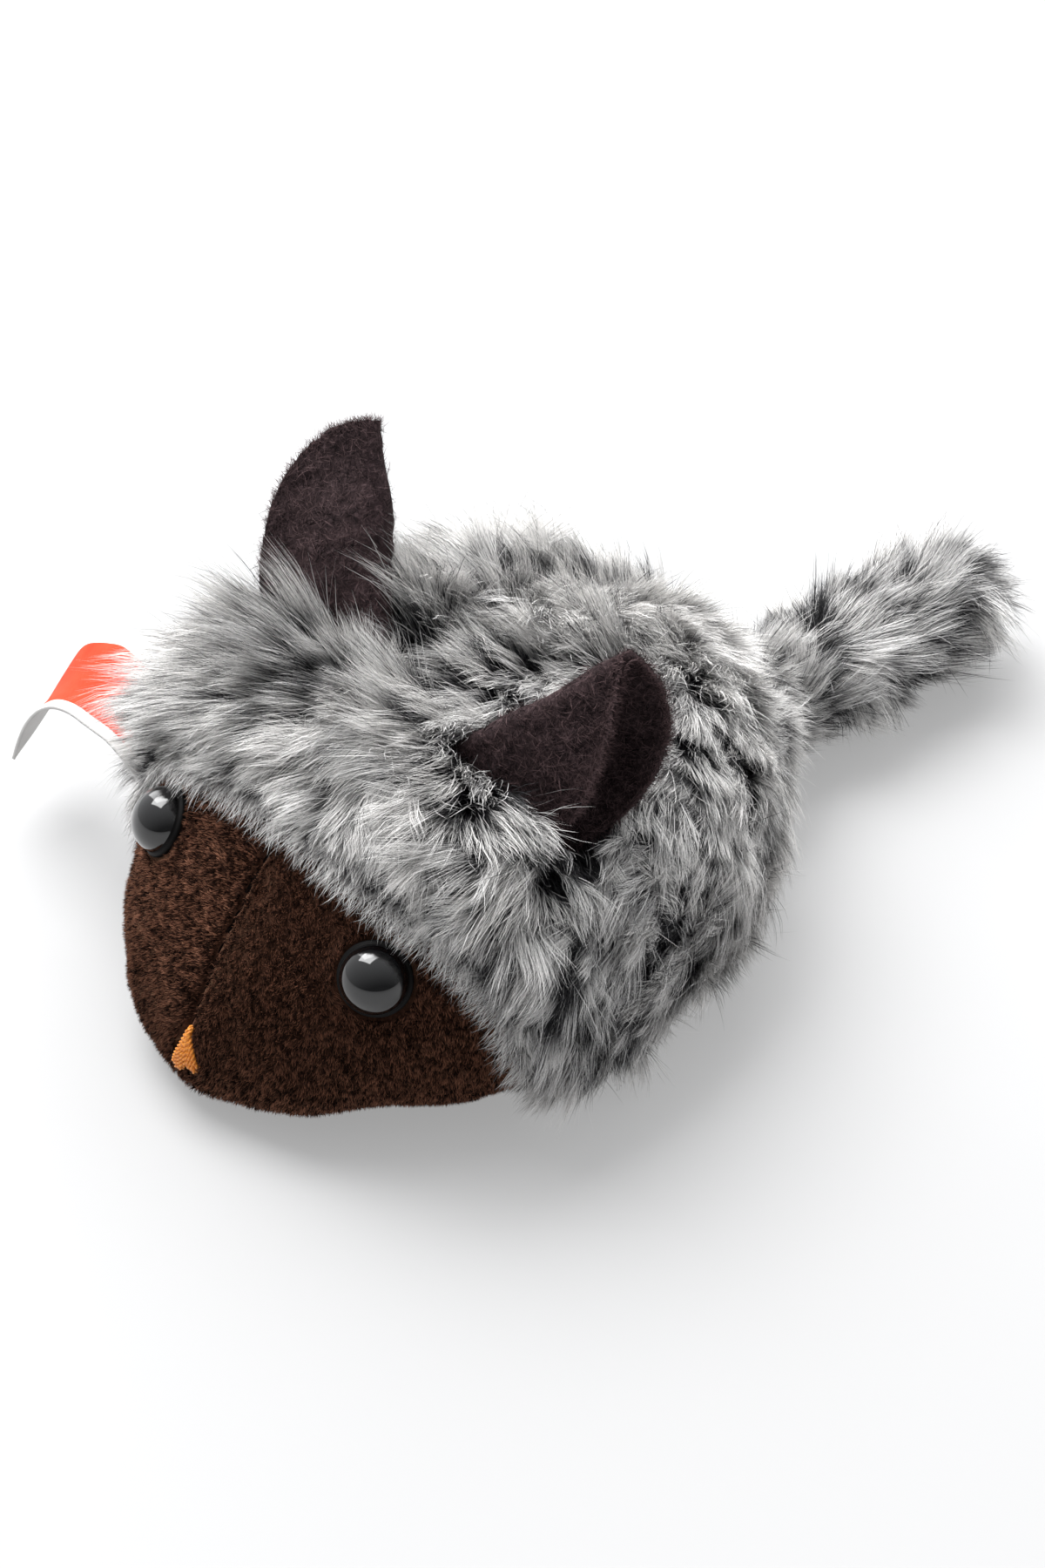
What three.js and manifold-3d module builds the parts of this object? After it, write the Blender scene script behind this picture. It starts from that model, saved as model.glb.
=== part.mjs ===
// Stuffed plush mouse cat toy: suede-like face and belly, long-pile body and tail,
// wool-felt ears, domed safety eyes, satin-stitched nose, a catnip sachet in the stuffing.
// Millimetres, +Z up, nose towards -Y, the mouse's left towards +X.
// The origin is on the floor plane, on the centre plane, under the seam between the ears.
import * as THREE from 'three';
import { mergeVertices } from 'three/addons/utils/BufferGeometryUtils.js';
import Module from 'manifold-3d';

// ---------------------------------------------------------------- driving sizes
const NOSE_Y = -40.8;            // tip of the nose
const REAR_Y = 49.8;             // rear edge of the back panels
const SEAM_GAP = 0.15;           // half of the clearance left at every seam
const SUEDE_T = 0.9;             // face and belly cloth
const PILE_T = 4.4;              // dense part of the fur above its backing
const PILE_EDGE = 0.5;           // pile height right at a seam
const FILL_CLEAR = 2.4;          // stuffing sits this far under the cloth's outer face
const CREASE_Y = -4.5;           // transverse seam that holds the ears
const EYE_AT = { left: [19.2, -27.7], right: [16.8, -28.1] };   // |x| and y of the eyes, which are sewn in by hand
const EYE_R = 4.0;               // dome radius
const EYE_RIM_R = 4.45;          // moulded rim behind the dome
const SHANK_R = 1.5;             // post through the cloth
const SHANK_L = 7.6;
const WASHER_R = 4.6;            // lock washer on the post
const FELT_T = 1.2;              // ear felt
const EAR_SWING = 18;            // degrees each way that the ears bend
const EAR_SPARE = 4;             // degrees more room behind an ear
const EAR_ROOM_TOP = 12;         // how far up the ear that room goes
const TAIL_PIVOT = [0, 54.4, 9.8];
const TAIL_END_Y = 92.5;
const TAIL_R = 6.4;
const LABEL_T = 0.5;
const LABEL_W = 13.8;

// body sections: y, half width, top z, bottom z, z of the widest point
const SECTIONS = [
  [-40.8, 0.7, 8.4, 5.6, 7.0],
  [-40.0, 5.2, 11.4, 2.8, 6.8],
  [-38.2, 11.0, 15.2, 2.5, 7.8],
  [-35.6, 15.8, 19.8, 1.8, 9.2],
  [-32.0, 19.9, 24.9, 1.0, 11.2],
  [-28.0, 23.1, 30.2, 0.1, 13.2],
  [-24.0, 26.2, 34.6, -0.9, 15.0],
  [-18.0, 30.0, 38.8, -2.2, 16.6],
  [-10.0, 32.8, 42.0, -2.2, 17.6],
  [0.0, 33.4, 43.6, -2.2, 18.0],
  [12.0, 32.2, 43.2, -2.2, 18.0],
  [24.0, 28.4, 39.8, -2.2, 17.4],
  [34.0, 21.2, 33.2, -2.0, 15.6],
  [42.0, 13.6, 25.4, -1.0, 13.0],
  [47.0, 9.4, 20.0, 1.2, 11.4],
  [51.0, 6.8, 16.4, 3.6, 10.2],
  [54.0, 5.0, 14.4, 5.2, 9.8],
];

// ---------------------------------------------------------------- small helpers
const V3 = (x, y, z) => new THREE.Vector3(x, y, z);
const rad = THREE.MathUtils.degToRad;
const clamp = THREE.MathUtils.clamp;
const lerp = THREE.MathUtils.lerp;
const smooth = (x, a, b) => { const t = clamp((x - a) / (b - a), 0, 1); return t * t * (3 - 2 * t); };

// monotone cubic through a column of the section table
function pchip(rows, col) {
  const n = rows.length, x = rows.map(r => r[0]), y = rows.map(r => r[col]);
  const d = [], m = new Array(n).fill(0);
  for (let i = 0; i < n - 1; i++) d.push((y[i + 1] - y[i]) / (x[i + 1] - x[i]));
  for (let i = 1; i < n - 1; i++) {
    if (d[i - 1] * d[i] <= 0) continue;
    const h0 = x[i] - x[i - 1], h1 = x[i + 1] - x[i], w1 = 2 * h1 + h0, w2 = h1 + 2 * h0;
    m[i] = (w1 + w2) / (w1 / d[i - 1] + w2 / d[i]);
  }
  m[0] = d[0]; m[n - 1] = d[n - 2];
  return v => {
    v = clamp(v, x[0], x[n - 1]);
    let i = 0; while (i < n - 2 && v > x[i + 1]) i++;
    const h = x[i + 1] - x[i], t = (v - x[i]) / h, t2 = t * t, t3 = t2 * t;
    return (2 * t3 - 3 * t2 + 1) * y[i] + (t3 - 2 * t2 + t) * h * m[i]
         + (-2 * t3 + 3 * t2) * y[i + 1] + (t3 - t2) * h * m[i + 1];
  };
}
const [halfW, topZ, botZ, midZ] = [1, 2, 3, 4].map(c => pchip(SECTIONS, c));

// ---------------------------------------------------------------- the body surface
// y along the body, phi around it (0 at the mouse's left, 90 on top), o the offset outwards
const MID = V3(0, 5, 22), REACH = V3(31, 47, 22);
function skin(y, phi, o = 0, minZ = 0) {
  const c = Math.cos(phi), s = Math.sin(phi), e = s > 0 ? 2 / 2.1 : 2 / lerp(2.15, 2.6, smooth(y, -35, -14));
  const w = halfW(y), zm = midZ(y);
  let x = w * Math.sign(c) * Math.abs(c) ** e;
  let z = zm + (s > 0 ? topZ(y) - zm : zm - botZ(y)) * Math.sign(s) * Math.abs(s) ** e;
  if (s > 0) {
    // the centre seam and the seam between the ears are pulled in
    const back = smooth(y, -29, -22), tail = 1 - smooth(y, 40, 50);
    z -= (0.55 + 1.1 * back * tail) * Math.exp(-((x / 2.4) ** 2)) * smooth(y, -42, -38);
    const crease = 0.045 * Math.exp(-(((y - CREASE_Y) / 3.2) ** 2)) * smooth(s, 0.1, 0.6);
    x *= 1 - crease; z = MID.z + (z - MID.z) * (1 - crease);
    // shallow sockets that the eyes are drawn into
    const k = x < 0 ? 'right' : eyeSide;
    const r = Math.hypot(Math.abs(x) - EYE_AT[k][0], y - EYE_AT[k][1], (z - eyeZ[k]) * 0.8);
    const dip = 1 - 0.024 * (1 - smooth(r, 1.5, 7.5));
    x *= dip; z = MID.z + (z - MID.z) * dip;
    y = MID.y + (y - MID.y) * (1 - 0.6 * (1 - dip));
  }
  z = Math.max(z, 0);
  const p = V3(MID.x + (x - MID.x) * (1 + o / REACH.x), MID.y + (y - MID.y) * (1 + o / REACH.y),
    MID.z + (z - MID.z) * (1 + o / REACH.z));
  p.z = Math.max(p.z, minZ);
  return p;
}
const eyeZ = { left: 23.5, right: 23.5 };
let eyeSide = 'left';             // whose socket the left half of the surface has while it is being made

// edge between face and fur: y for an angle on the left side
const faceEdge = phi => {
  const d = THREE.MathUtils.radToDeg(phi);
  return -24.2 + 7.0 * smooth(70 - d, 0, 75) + 7.0 * smooth(6 - d, 0, 46);
};
// on the mouse's right the seam runs further forward below the eye, where it takes in the label
const faceEdgeR = phi => {
  const d = THREE.MathUtils.radToDeg(phi);
  return faceEdge(phi) - 4.2 * smooth(50 - d, 0, 30) * (1 - smooth(-d, 5, 35));
};
// upper edge of the belly panel: angle below the horizontal
const BELLY_A = -36.6, BELLY_B = 47.6;
const bellyAngle = y => {
  const t = clamp((y - BELLY_A) / (BELLY_B - BELLY_A), 0, 1);
  const h = 38 * (Math.max(0, 1 - Math.abs(2 * t - 1) ** 2.6)) ** 0.5;
  return rad(-90 + h);
};

// ---------------------------------------------------------------- mesh builders
function closed(positions, index) {
  let g = new THREE.BufferGeometry();
  g.setAttribute('position', new THREE.Float32BufferAttribute(positions, 3));
  g.setIndex(index);
  g = mergeVertices(g, 1e-4);
  const p = g.attributes.position, id = g.index.array, a = V3(), b = V3(), c = V3();
  const keep = [];
  let vol = 0;
  for (let i = 0; i < id.length; i += 3) {
    if (id[i] === id[i + 1] || id[i + 1] === id[i + 2] || id[i] === id[i + 2]) continue;
    a.fromBufferAttribute(p, id[i]); b.fromBufferAttribute(p, id[i + 1]); c.fromBufferAttribute(p, id[i + 2]);
    vol += a.dot(b.cross(c));
    keep.push(id[i], id[i + 1], id[i + 2]);
  }
  if (vol < 0) for (let i = 0; i < keep.length; i += 3) [keep[i], keep[i + 1]] = [keep[i + 1], keep[i]];
  g.setIndex(keep);
  return g;
}
// a solid between two sheets that share a grid, walls all round
function slab(outer, inner, nu, nv) {
  const pos = [], idx = [], id = (k, i, j) => (k * (nu + 1) + i) * (nv + 1) + j;
  for (const f of [outer, inner]) for (let i = 0; i <= nu; i++) for (let j = 0; j <= nv; j++) {
    const p = f(i / nu, j / nv); pos.push(p.x, p.y, p.z);
  }
  const quad = (a, b, c, d) => idx.push(a, b, c, a, c, d);
  for (let i = 0; i < nu; i++) for (let j = 0; j < nv; j++) {
    quad(id(0, i, j), id(0, i + 1, j), id(0, i + 1, j + 1), id(0, i, j + 1));
    quad(id(1, i, j), id(1, i, j + 1), id(1, i + 1, j + 1), id(1, i + 1, j));
  }
  for (let i = 0; i < nu; i++) {
    quad(id(0, i, 0), id(1, i, 0), id(1, i + 1, 0), id(0, i + 1, 0));
    quad(id(0, i, nv), id(0, i + 1, nv), id(1, i + 1, nv), id(1, i, nv));
  }
  for (let j = 0; j < nv; j++) {
    quad(id(0, 0, j), id(0, 0, j + 1), id(1, 0, j + 1), id(1, 0, j));
    quad(id(0, nu, j), id(1, nu, j), id(1, nu, j + 1), id(0, nu, j + 1));
  }
  return closed(pos, idx);
}
// a solid of rings, closed by a fan at each end
function rings(list) {
  const pos = [], idx = [], m = list[0].length;
  for (const r of list) for (const p of r) pos.push(p.x, p.y, p.z);
  for (let i = 0; i < list.length - 1; i++) for (let j = 0; j < m; j++) {
    const k = (j + 1) % m, a = i * m + j, b = i * m + k, c = (i + 1) * m + k, d = (i + 1) * m + j;
    idx.push(a, b, c, a, c, d);
  }
  for (const [row, flip] of [[0, true], [list.length - 1, false]]) {
    const c = list[row].reduce((s, p) => s.add(p), V3()).divideScalar(m);
    const ci = pos.length / 3; pos.push(c.x, c.y, c.z);
    for (let j = 0; j < m; j++) {
      const a = row * m + j, b = row * m + (j + 1) % m;
      flip ? idx.push(ci, b, a) : idx.push(ci, a, b);
    }
  }
  return closed(pos, idx);
}
// a thin sheet given by its middle surface, with its thickness along the normal
function sheet(f, t, nu, nv) {
  const e = 1e-3;
  const side = k => (u, v) => {
    const u0 = Math.max(0, u - e), u1 = Math.min(1, u + e), v0 = Math.max(0, v - e), v1 = Math.min(1, v + e);
    const n = f(u1, v).sub(f(u0, v)).cross(f(u, v1).sub(f(u, v0))).normalize();
    return f(u, v).addScaledVector(n, k * t / 2);
  };
  return slab(side(1), side(-1), nu, nv);
}

const wasm = await Module();
wasm.setup();
function solid(g) {
  g = g.clone();
  for (const k of Object.keys(g.attributes)) if (k !== 'position') g.deleteAttribute(k);
  g = mergeVertices(g, 1e-4);
  return new wasm.Manifold(new wasm.Mesh({
    numProp: 3, vertProperties: new Float32Array(g.attributes.position.array),
    triVerts: new Uint32Array(g.index.array),
  }));
}
function geometry(m) {
  const out = m.getMesh(), g = new THREE.BufferGeometry();
  g.setAttribute('position', new THREE.Float32BufferAttribute(out.vertProperties, 3));
  g.setIndex([...out.triVerts]);
  return g;
}
// the largest connected piece of a mesh, so that no cut leaves a crumb behind
function biggest(g) {
  const id = g.index.array, n = g.attributes.position.count, up = Array.from({ length: n }, (_, i) => i);
  const root = i => { while (up[i] !== i) i = up[i] = up[up[i]]; return i; };
  for (let i = 0; i < id.length; i += 3) { up[root(id[i])] = root(id[i + 1]); up[root(id[i + 1])] = root(id[i + 2]); }
  const size = new Map();
  for (let i = 0; i < id.length; i += 3) size.set(root(id[i]), (size.get(root(id[i])) ?? 0) + 1);
  const top = [...size].sort((a, b) => b[1] - a[1])[0][0], keep = [];
  for (let i = 0; i < id.length; i += 3) if (root(id[i]) === top) keep.push(id[i], id[i + 1], id[i + 2]);
  return closed([...g.attributes.position.array], keep);
}
const join = list => geometry(list.map(solid).reduce((a, b) => a.add(b)));
const cut = (g, list) => geometry(list.map(solid).reduce((a, b) => a.subtract(b), solid(g)));
const moved = (g, m) => g.clone().applyMatrix4(m);
const mirrorX = new THREE.Matrix4().makeScale(-1, 1, 1);
function mirrored(g) {
  g = moved(g, mirrorX);
  const id = [...g.index.array];
  for (let i = 0; i < id.length; i += 3) [id[i], id[i + 1]] = [id[i + 1], id[i]];
  g.setIndex(id);
  return g;
}
function lathe(profile, seg) {          // closes on the axis or on itself
  const g = new THREE.LatheGeometry(profile.map(p => new THREE.Vector2(...p)), seg);
  g.deleteAttribute('normal'); g.deleteAttribute('uv');
  return closed([...mergeVertices(g, 1e-5).attributes.position.array], [...mergeVertices(g, 1e-5).index.array]);
}
// moves a shape made along +Y so that +Y points along n and its origin is at p
const placeY = (p, n) => new THREE.Matrix4().compose(p,
  new THREE.Quaternion().setFromUnitVectors(V3(0, 1, 0), n), V3(1, 1, 1));

// ---------------------------------------------------------------- eye positions
function surfaceAt(x, y) {              // angle on the upper left whose x is the given one
  let lo = rad(2), hi = rad(88);
  for (let k = 0; k < 40; k++) { const m = (lo + hi) / 2; skin(y, m).x > x ? lo = m : hi = m; }
  return lo;
}
for (const k of ['left', 'right']) { // the height of each eye follows from its x and y
  eyeSide = k;
  let z = 23.5;
  for (let n = 0; n < 4; n++) { eyeZ[k] = z; z = skin(EYE_AT[k][1], surfaceAt(EYE_AT[k][0], EYE_AT[k][1])).z + 0.2; }
}
eyeSide = 'left';
function normalAt(y, phi) {
  const e = 0.02, a = skin(y + 1.4, phi).sub(skin(y - 1.4, phi)), b = skin(y, phi + e * 3).sub(skin(y, phi - e * 3));
  const n = a.cross(b).normalize(), p = skin(y, phi);
  return n.dot(p.clone().sub(MID)) < 0 ? n.negate() : n;
}
const onSide = (k, make) => { eyeSide = k; const g = make(); eyeSide = 'left'; return g; };
const eyeSeat = k => onSide(k, () => {
  const [x, y] = EYE_AT[k], phi = surfaceAt(x - 0.3, y);
  return { p: skin(y, phi), n: normalAt(y, phi) };
});

// ---------------------------------------------------------------- cloth panels (left side, mirrored)
const GAPY = SEAM_GAP * 1.2;
function panelPoint(yA, yB, a, b, gap) {
  // a runs from the front edge to the rear edge, b from the belly seam to the centre seam
  let y = lerp(-30, 30, a), phi = 0;
  for (let k = 0; k < 12; k++) {
    const g = gap / Math.max(4, halfW(y));
    const low = bellyAngle(y) + g, high = Math.PI / 2;
    phi = lerp(low, high, b);
    y = lerp(yA(phi) + GAPY, yB(phi) - GAPY, a);
  }
  return [y, phi];
}
const holdX = (p, gap) => { p.x = Math.max(p.x, gap); return p; };

function facePanel(edge) {
  const at = (a, b) => panelPoint(() => NOSE_Y + 0.1, edge, a ** 1.35, b, 0.35);
  return slab(
    (a, b) => holdX(skin(...at(a, b), 0, 0.02), SEAM_GAP),
    (a, b) => holdX(skin(...at(a, b), -SUEDE_T), SEAM_GAP), 14, 12);
}
function furPanel(yA, yB, nu, nv, fullA, fullB) {
  const at = (a, b) => panelPoint(yA, yB, a, b, 0.35);
  const len = (a, b) => { // distances to the four edges, in mm
    const [y, phi] = at(a, b);
    return Math.min(fullA ? 9 : Math.abs(y - yA(phi)), fullB ? 9 : Math.abs(yB(phi) - y),
      (Math.PI / 2 - phi) * 24, (phi - bellyAngle(y)) * 26);
  };
  const pile = (a, b) => {
    const d = len(a, b), [y] = at(a, b);
    const rear = 1 - 0.55 * smooth(y, 34, 50);
    return PILE_EDGE + (PILE_T * rear - PILE_EDGE) * Math.sin(Math.PI / 2 * clamp(d / 4.2, 0, 1));
  };
  return slab(
    (a, b) => holdX(skin(...at(a, b), pile(a, b), 0.4), SEAM_GAP),
    (a, b) => holdX(skin(...at(a, b), -SUEDE_T, 0.85), SEAM_GAP), nu, nv);
}
const crease = () => CREASE_Y;
const rear = () => REAR_Y;
const faceL0 = facePanel(faceEdge), faceR0 = mirrored(onSide('right', () => facePanel(faceEdgeR)));
const headL0 = furPanel(faceEdge, crease, 7, 12, false, false);
const headR0 = mirrored(onSide('right', () => furPanel(faceEdgeR, crease, 7, 12, false, false)));
const backL0 = furPanel(crease, rear, 12, 12, false, true);

function bellyPanel() {
  const f = (o, lim) => (a, b) => {
    const y = lerp(BELLY_A + 0.5, BELLY_B - 0.5, 0.5 - 0.5 * Math.cos(Math.PI * a));
    const h = bellyAngle(y) + Math.PI / 2 - 0.35 / Math.max(4, halfW(y));
    return skin(y, -Math.PI / 2 + Math.max(0.02, h) * (2 * b - 1), o, lim);
  };
  return slab(f(0, 0), f(-SUEDE_T, 0), 18, 8);
}

// ---------------------------------------------------------------- ears
// each ear is one felt piece folded lengthways: a straight fold on the inner side and
// two rounded flaps that open outwards; its foot is held in the seam between the ears
const EARS = {
  ear_left: {
    o: [14.65, -6.85, 44.65], e: [29.22, -3.8, 36.51], tip: [27.64, 2.7, 57.23],
    front: { w: 13.9, open: 7, bulge: 0.55, p: 1.07, s: 0.75 },     // the flap that faces the nose
    rear: { w: 17.3, open: 12.2, bulge: 2.3, p: 1.79, s: 0.68 },
  },
  ear_right: {
    o: [-6.1, -3.25, 48.51], e: [-23.43, -5.65, 42.22], tip: [-18.09, 6.11, 64.87],
    front: { w: 16.7, open: 10.3, bulge: 0.6, p: 1.76, s: 0.5 },
    rear: { w: 16.4, open: 11, bulge: 0.9, p: 1.8, s: 0.52 },
  },
};
const EAR_SUNK = 5.0;                   // felt hidden between the fur's tips and the seam
function earFrame(k) {
  const c = EARS[k], O = V3(...c.o), E = V3(...c.e), T = V3(...c.tip);
  const f = T.clone().sub(O).normalize(), u = E.clone().sub(O).normalize();
  const n = u.clone().cross(f).normalize();        // across the flaps
  if (n.y > 0) n.negate();
  return { f, u, n, O: O.clone().addScaledVector(f, -EAR_SUNK), H: T.distanceTo(O) };
}
function earSheet(k, t, nu = 20, nv = 7, foot = 1.0) {
  const { f, u, n, O, H } = earFrame(k), c = EARS[k], rho = 1.0;
  return sheet((a, b) => {
    const s = Math.sign(2 * a - 1), flap = s < 0 ? c.rear : c.front;
    const t = Math.abs(2 * a - 1), arc = Math.PI * rho / 2, q = t * (flap.w + arc - rho);
    const top = EAR_SUNK + H * Math.max(0, 1 - t ** flap.p) ** flap.s;
    const v = -foot + b * (top + foot);
    const al = rad(2 + (flap.open - 2) * smooth(v, -1, 8));
    let x, y;
    if (q < arc) { x = rho - rho * Math.cos(q / rho); y = rho * Math.sin(q / rho); }
    else { x = rho + (q - arc) * Math.cos(al); y = rho + (q - arc) * Math.sin(al); }
    // the flaps bow outwards a little
    y += flap.bulge * Math.sin(Math.PI * t) * smooth(v, 0, 10);
    return O.clone().addScaledVector(u, x).addScaledVector(n, s * y).addScaledVector(f, v);
  }, t, nu, nv);
}
function turned(g, p, axis, deg) {
  const m = new THREE.Matrix4().makeTranslation(p.x, p.y, p.z)
    .multiply(new THREE.Matrix4().makeRotationAxis(axis, rad(deg)))
    .multiply(new THREE.Matrix4().makeTranslation(-p.x, -p.y, -p.z));
  return moved(g, m);
}
// the room that an ear needs in the fur as it bends: a wedge that widens from the seam
function earRoom(k) {
  const { f, u, n, O } = earFrame(k), c = EARS[k];
  const W = Math.max(c.front.w, c.rear.w);
  const half = side => {
    const flap = side < 0 ? c.rear : c.front, spread = Math.tan(rad(EAR_SWING + (side < 0 ? EAR_SPARE : 1.5)));
    return (a, b) => {
      const x = lerp(-2.2, W + 2.4, a), v = lerp(-2.9, EAR_ROOM_TOP, b);
      const h = 2.2 + Math.max(0, x) * Math.sin(rad(flap.open)) * smooth(v, -3, 6) + flap.bulge * smooth(v, 0, 8) + Math.abs(v) * spread;
      return O.clone().addScaledVector(u, x + 0.15 * v).addScaledVector(n, side * h).addScaledVector(f, v);
    };
  };
  return [slab(half(1), half(-1), 4, 4)];
}

// ---------------------------------------------------------------- side label
const LABEL_ROOT = V3(-30.6, -21.8, 20.2), LABEL_ACROSS = V3(-4.6, 13, 2.4).normalize();
const LABEL_RUN = [[2.6, -1.4], [0, 0], [-3, 1.7], [-6.5, 2.7], [-11, 2.7], [-15.2, 1.6], [-19, -0.6], [-22, -4], [-24, -7.8], [-25.4, -11.2]];
function labelSheet(t, run = LABEL_RUN, grow = 0, nu = 18) {
  const curve = new THREE.CatmullRomCurve3(run.map(([x, z]) => V3(x, 0, z)), false, 'centripetal');
  return sheet((a, b) => {
    const p = curve.getPoint(a), w = lerp(-grow, LABEL_W + grow, b);
    // a ribbon never lies dead flat: the rear edge lifts a little at the free end
    return LABEL_ROOT.clone().add(p).addScaledVector(LABEL_ACROSS, w).add(V3(0, 0, 1.2 * a * a * (w / LABEL_W)));
  }, t, nu, 2);
}
const labelClear = () => [-21, 0, 31].map(d =>
  turned(labelSheet(LABEL_T + 1.0, LABEL_RUN.slice(0, 4), 0.6, 5), LABEL_ROOT, LABEL_ACROSS, d));
const labelFoot = () => labelSheet(LABEL_T + 1.0, [[4.2, -2.3], [2.6, -1.4], [0, 0]], 0.6, 3);

// ---------------------------------------------------------------- eyes
function eyeShape() {
  const pr = [[0, -SHANK_L]];
  pr.push([SHANK_R - 0.45, -SHANK_L], [SHANK_R - 0.1, -SHANK_L + 0.9]);
  for (let y = -SHANK_L + 0.9; y < -2; y += 2) pr.push([SHANK_R, y + 0.7], [SHANK_R - 0.25, y + 0.9], [SHANK_R - 0.25, y + 1.8]);
  pr.push([SHANK_R - 0.22, 0.0], [EYE_RIM_R - 0.5, 0.0], [EYE_RIM_R - 0.08, 0.22], [EYE_RIM_R, 0.5], [EYE_RIM_R - 0.1, 0.8], [EYE_R + 0.06, 0.95]);
  for (let k = 0; k <= 6; k++) { const a = rad(4 + k * 86 / 6); pr.push([k === 6 ? 0 : EYE_R * Math.cos(a), 0.85 + 3.55 * Math.sin(a)]); }
  return lathe(pr, 18);
}
function washerShape() {
  const r0 = SHANK_R + 0.3;
  return lathe([[r0, 0], [r0 + 0.9, 0.1], [WASHER_R - 0.2, 0.0], [WASHER_R, 0.25], [WASHER_R - 0.2, 0.75], [r0 + 1.1, 0.9], [r0 + 0.9, 1.5], [r0, 1.5], [r0, 0]], 18);
}
function eyeSet(k) { // made on the left, and mirrored for the right
  const { p, n } = eyeSeat(k), m = placeY(p.clone().addScaledVector(n, 0.45), n);
  const list = {
    eye: moved(eyeShape(), m),
    washer: moved(washerShape(), placeY(p.clone().addScaledVector(n, -3.4), n)),
    postHole: moved(lathe([[0, -6], [SHANK_R + 0.45, -6], [SHANK_R + 0.45, 6], [0, 6]], 20), m),
    postWell: moved(lathe([[0, -SHANK_L - 1.2], [WASHER_R + 0.5, -SHANK_L - 1.2], [WASHER_R + 0.5, 4], [0, 4]], 20), m),
  };
  if (k === 'right') for (const name in list) list[name] = mirrored(list[name]);
  return list;
}
const eyeL = eyeSet('left'), eyeR = eyeSet('right');

// ---------------------------------------------------------------- nose stitching
// satin stitches fan from one point on the centre seam down to the lip
function noseShape() {
  const pick = (x, z) => {              // front surface at a height, by search along y
    let lo = NOSE_Y, hi = -30;
    const inside = y => {
      const w = halfW(y), zm = midZ(y), h = z > zm ? topZ(y) - zm : zm - botZ(y);
      return (Math.abs(x) / w) ** 2.1 + (Math.abs(z - zm) / Math.max(h, 0.01)) ** 2.1 < 1;
    };
    for (let k = 0; k < 40; k++) { const m = (lo + hi) / 2; inside(m) ? hi = m : lo = m; }
    return V3(x, hi - 0.46, z);
  };
  const list = [];
  const N = 6;
  for (let i = 0; i < N; i++) {
    const t = i / (N - 1) * 2 - 1, pts = [];
    const zTop = 11.2 - 0.4 * t * t, zBot = 6.0 + 0.5 * t * t + 0.12 * (i % 2);
    for (let k = 0; k <= 5; k++) {
      const s = k / 5;
      pts.push(pick(0.12 * t + (t * 1.65 - 0.5) * s ** 0.9, lerp(zTop, zBot, s)));
    }
    const path = new THREE.CatmullRomCurve3(pts), sh = new THREE.Shape();
    sh.absarc(0, 0, 0.40, 0, Math.PI * 2);
    const g = new THREE.ExtrudeGeometry(sh, { steps: 7, curveSegments: 3, bevelEnabled: false, extrudePath: path });
    g.deleteAttribute('normal'); g.deleteAttribute('uv');
    const m = mergeVertices(g, 1e-5);
    list.push(closed([...m.attributes.position.array], [...m.index.array]));
  }
  return join(list);
}

// ---------------------------------------------------------------- stuffing
function fillRing(y, o, m = 24) {
  const out = [];
  for (let j = 0; j < m; j++) out.push(skin(y, rad(360 * j / m), o));
  return out;
}
function fill(y0, y1, n) {
  const list = [];
  for (let i = 0; i <= n; i++) list.push(fillRing(lerp(y0, y1, i / n), -FILL_CLEAR));
  return rings(list);
}
const SACHET_AT = V3(0, 8, 20), SACHET_W = 15, SACHET_H = 12, SACHET_T = 4.2;
const FILL_SPLIT = 8;
function pillow(w, h, t, n = 11, edge = 0.15) { // half thickness over a rounded rectangle
  return (a, b) => {
    const x = 2 * a - 1, z = 2 * b - 1;
    const k = (1 - x ** 4) * (1 - z ** 4);
    const r = 1 - 0.07 * x * x * z * z;
    return [x * w * r, z * h * r, edge + t * Math.max(0, k) ** 0.8];
  };
}
function sachetSheet(side) {
  const th = 0.45, f = pillow(SACHET_W, SACHET_H, SACHET_T);
  const g = k => (a, b) => { const [x, z, t] = f(a, b); return V3(SACHET_AT.x + x, SACHET_AT.y + side * (t + k * th), SACHET_AT.z + z); };
  return slab(g(1), g(0), 9, 8);
}
function sachetFill() {
  const f = pillow(SACHET_W - 1.6, SACHET_H - 1.6, SACHET_T - 0.9, 11, 0.35);
  const g = s => (a, b) => { const [x, z, t] = f(a, b); return V3(SACHET_AT.x + x, SACHET_AT.y + s * (t * (0.94 + 0.06 * Math.sin(9 * a + 3) * Math.cos(11 * b))), SACHET_AT.z + z); };
  return slab(g(1), g(-1), 9, 8);
}
function sachetRoom() {
  const f = pillow(SACHET_W + 0.9, SACHET_H + 0.9, SACHET_T + 1.0, 11, 0.6);
  const g = s => (a, b) => { const [x, z, t] = f(a, b); return V3(SACHET_AT.x + x, SACHET_AT.y + s * t, SACHET_AT.z + z); };
  return slab(g(1), g(-1), 10, 8);
}

// ---------------------------------------------------------------- tail
// a stuffed fur sleeve; its rounded root turns on the bundle of thread that ties it on
const tp = V3(...TAIL_PIVOT);
function tailAxis(t) {                  // t 0 at the pivot, 1 at the tip
  return V3(0.6 * t * t, lerp(tp.y, TAIL_END_Y, t), tp.z - 0.9 * Math.sin(Math.PI * Math.min(1, t * 1.1)) * 0.6);
}
function tailRings(profile, m = 20) {   // profile of [y from the pivot, radius]
  const L = TAIL_END_Y - tp.y;
  return profile.map(([d, r]) => {
    const c = d < 0 ? V3(tp.x, tp.y + d, tp.z) : tailAxis(d / L), out = [];
    for (let j = 0; j < m; j++) {
      const a = 2 * Math.PI * j / m;
      out.push(V3(c.x + r * Math.cos(a), c.y, c.z + r * 0.97 * Math.sin(a)));
    }
    return out;
  });
}
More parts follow.
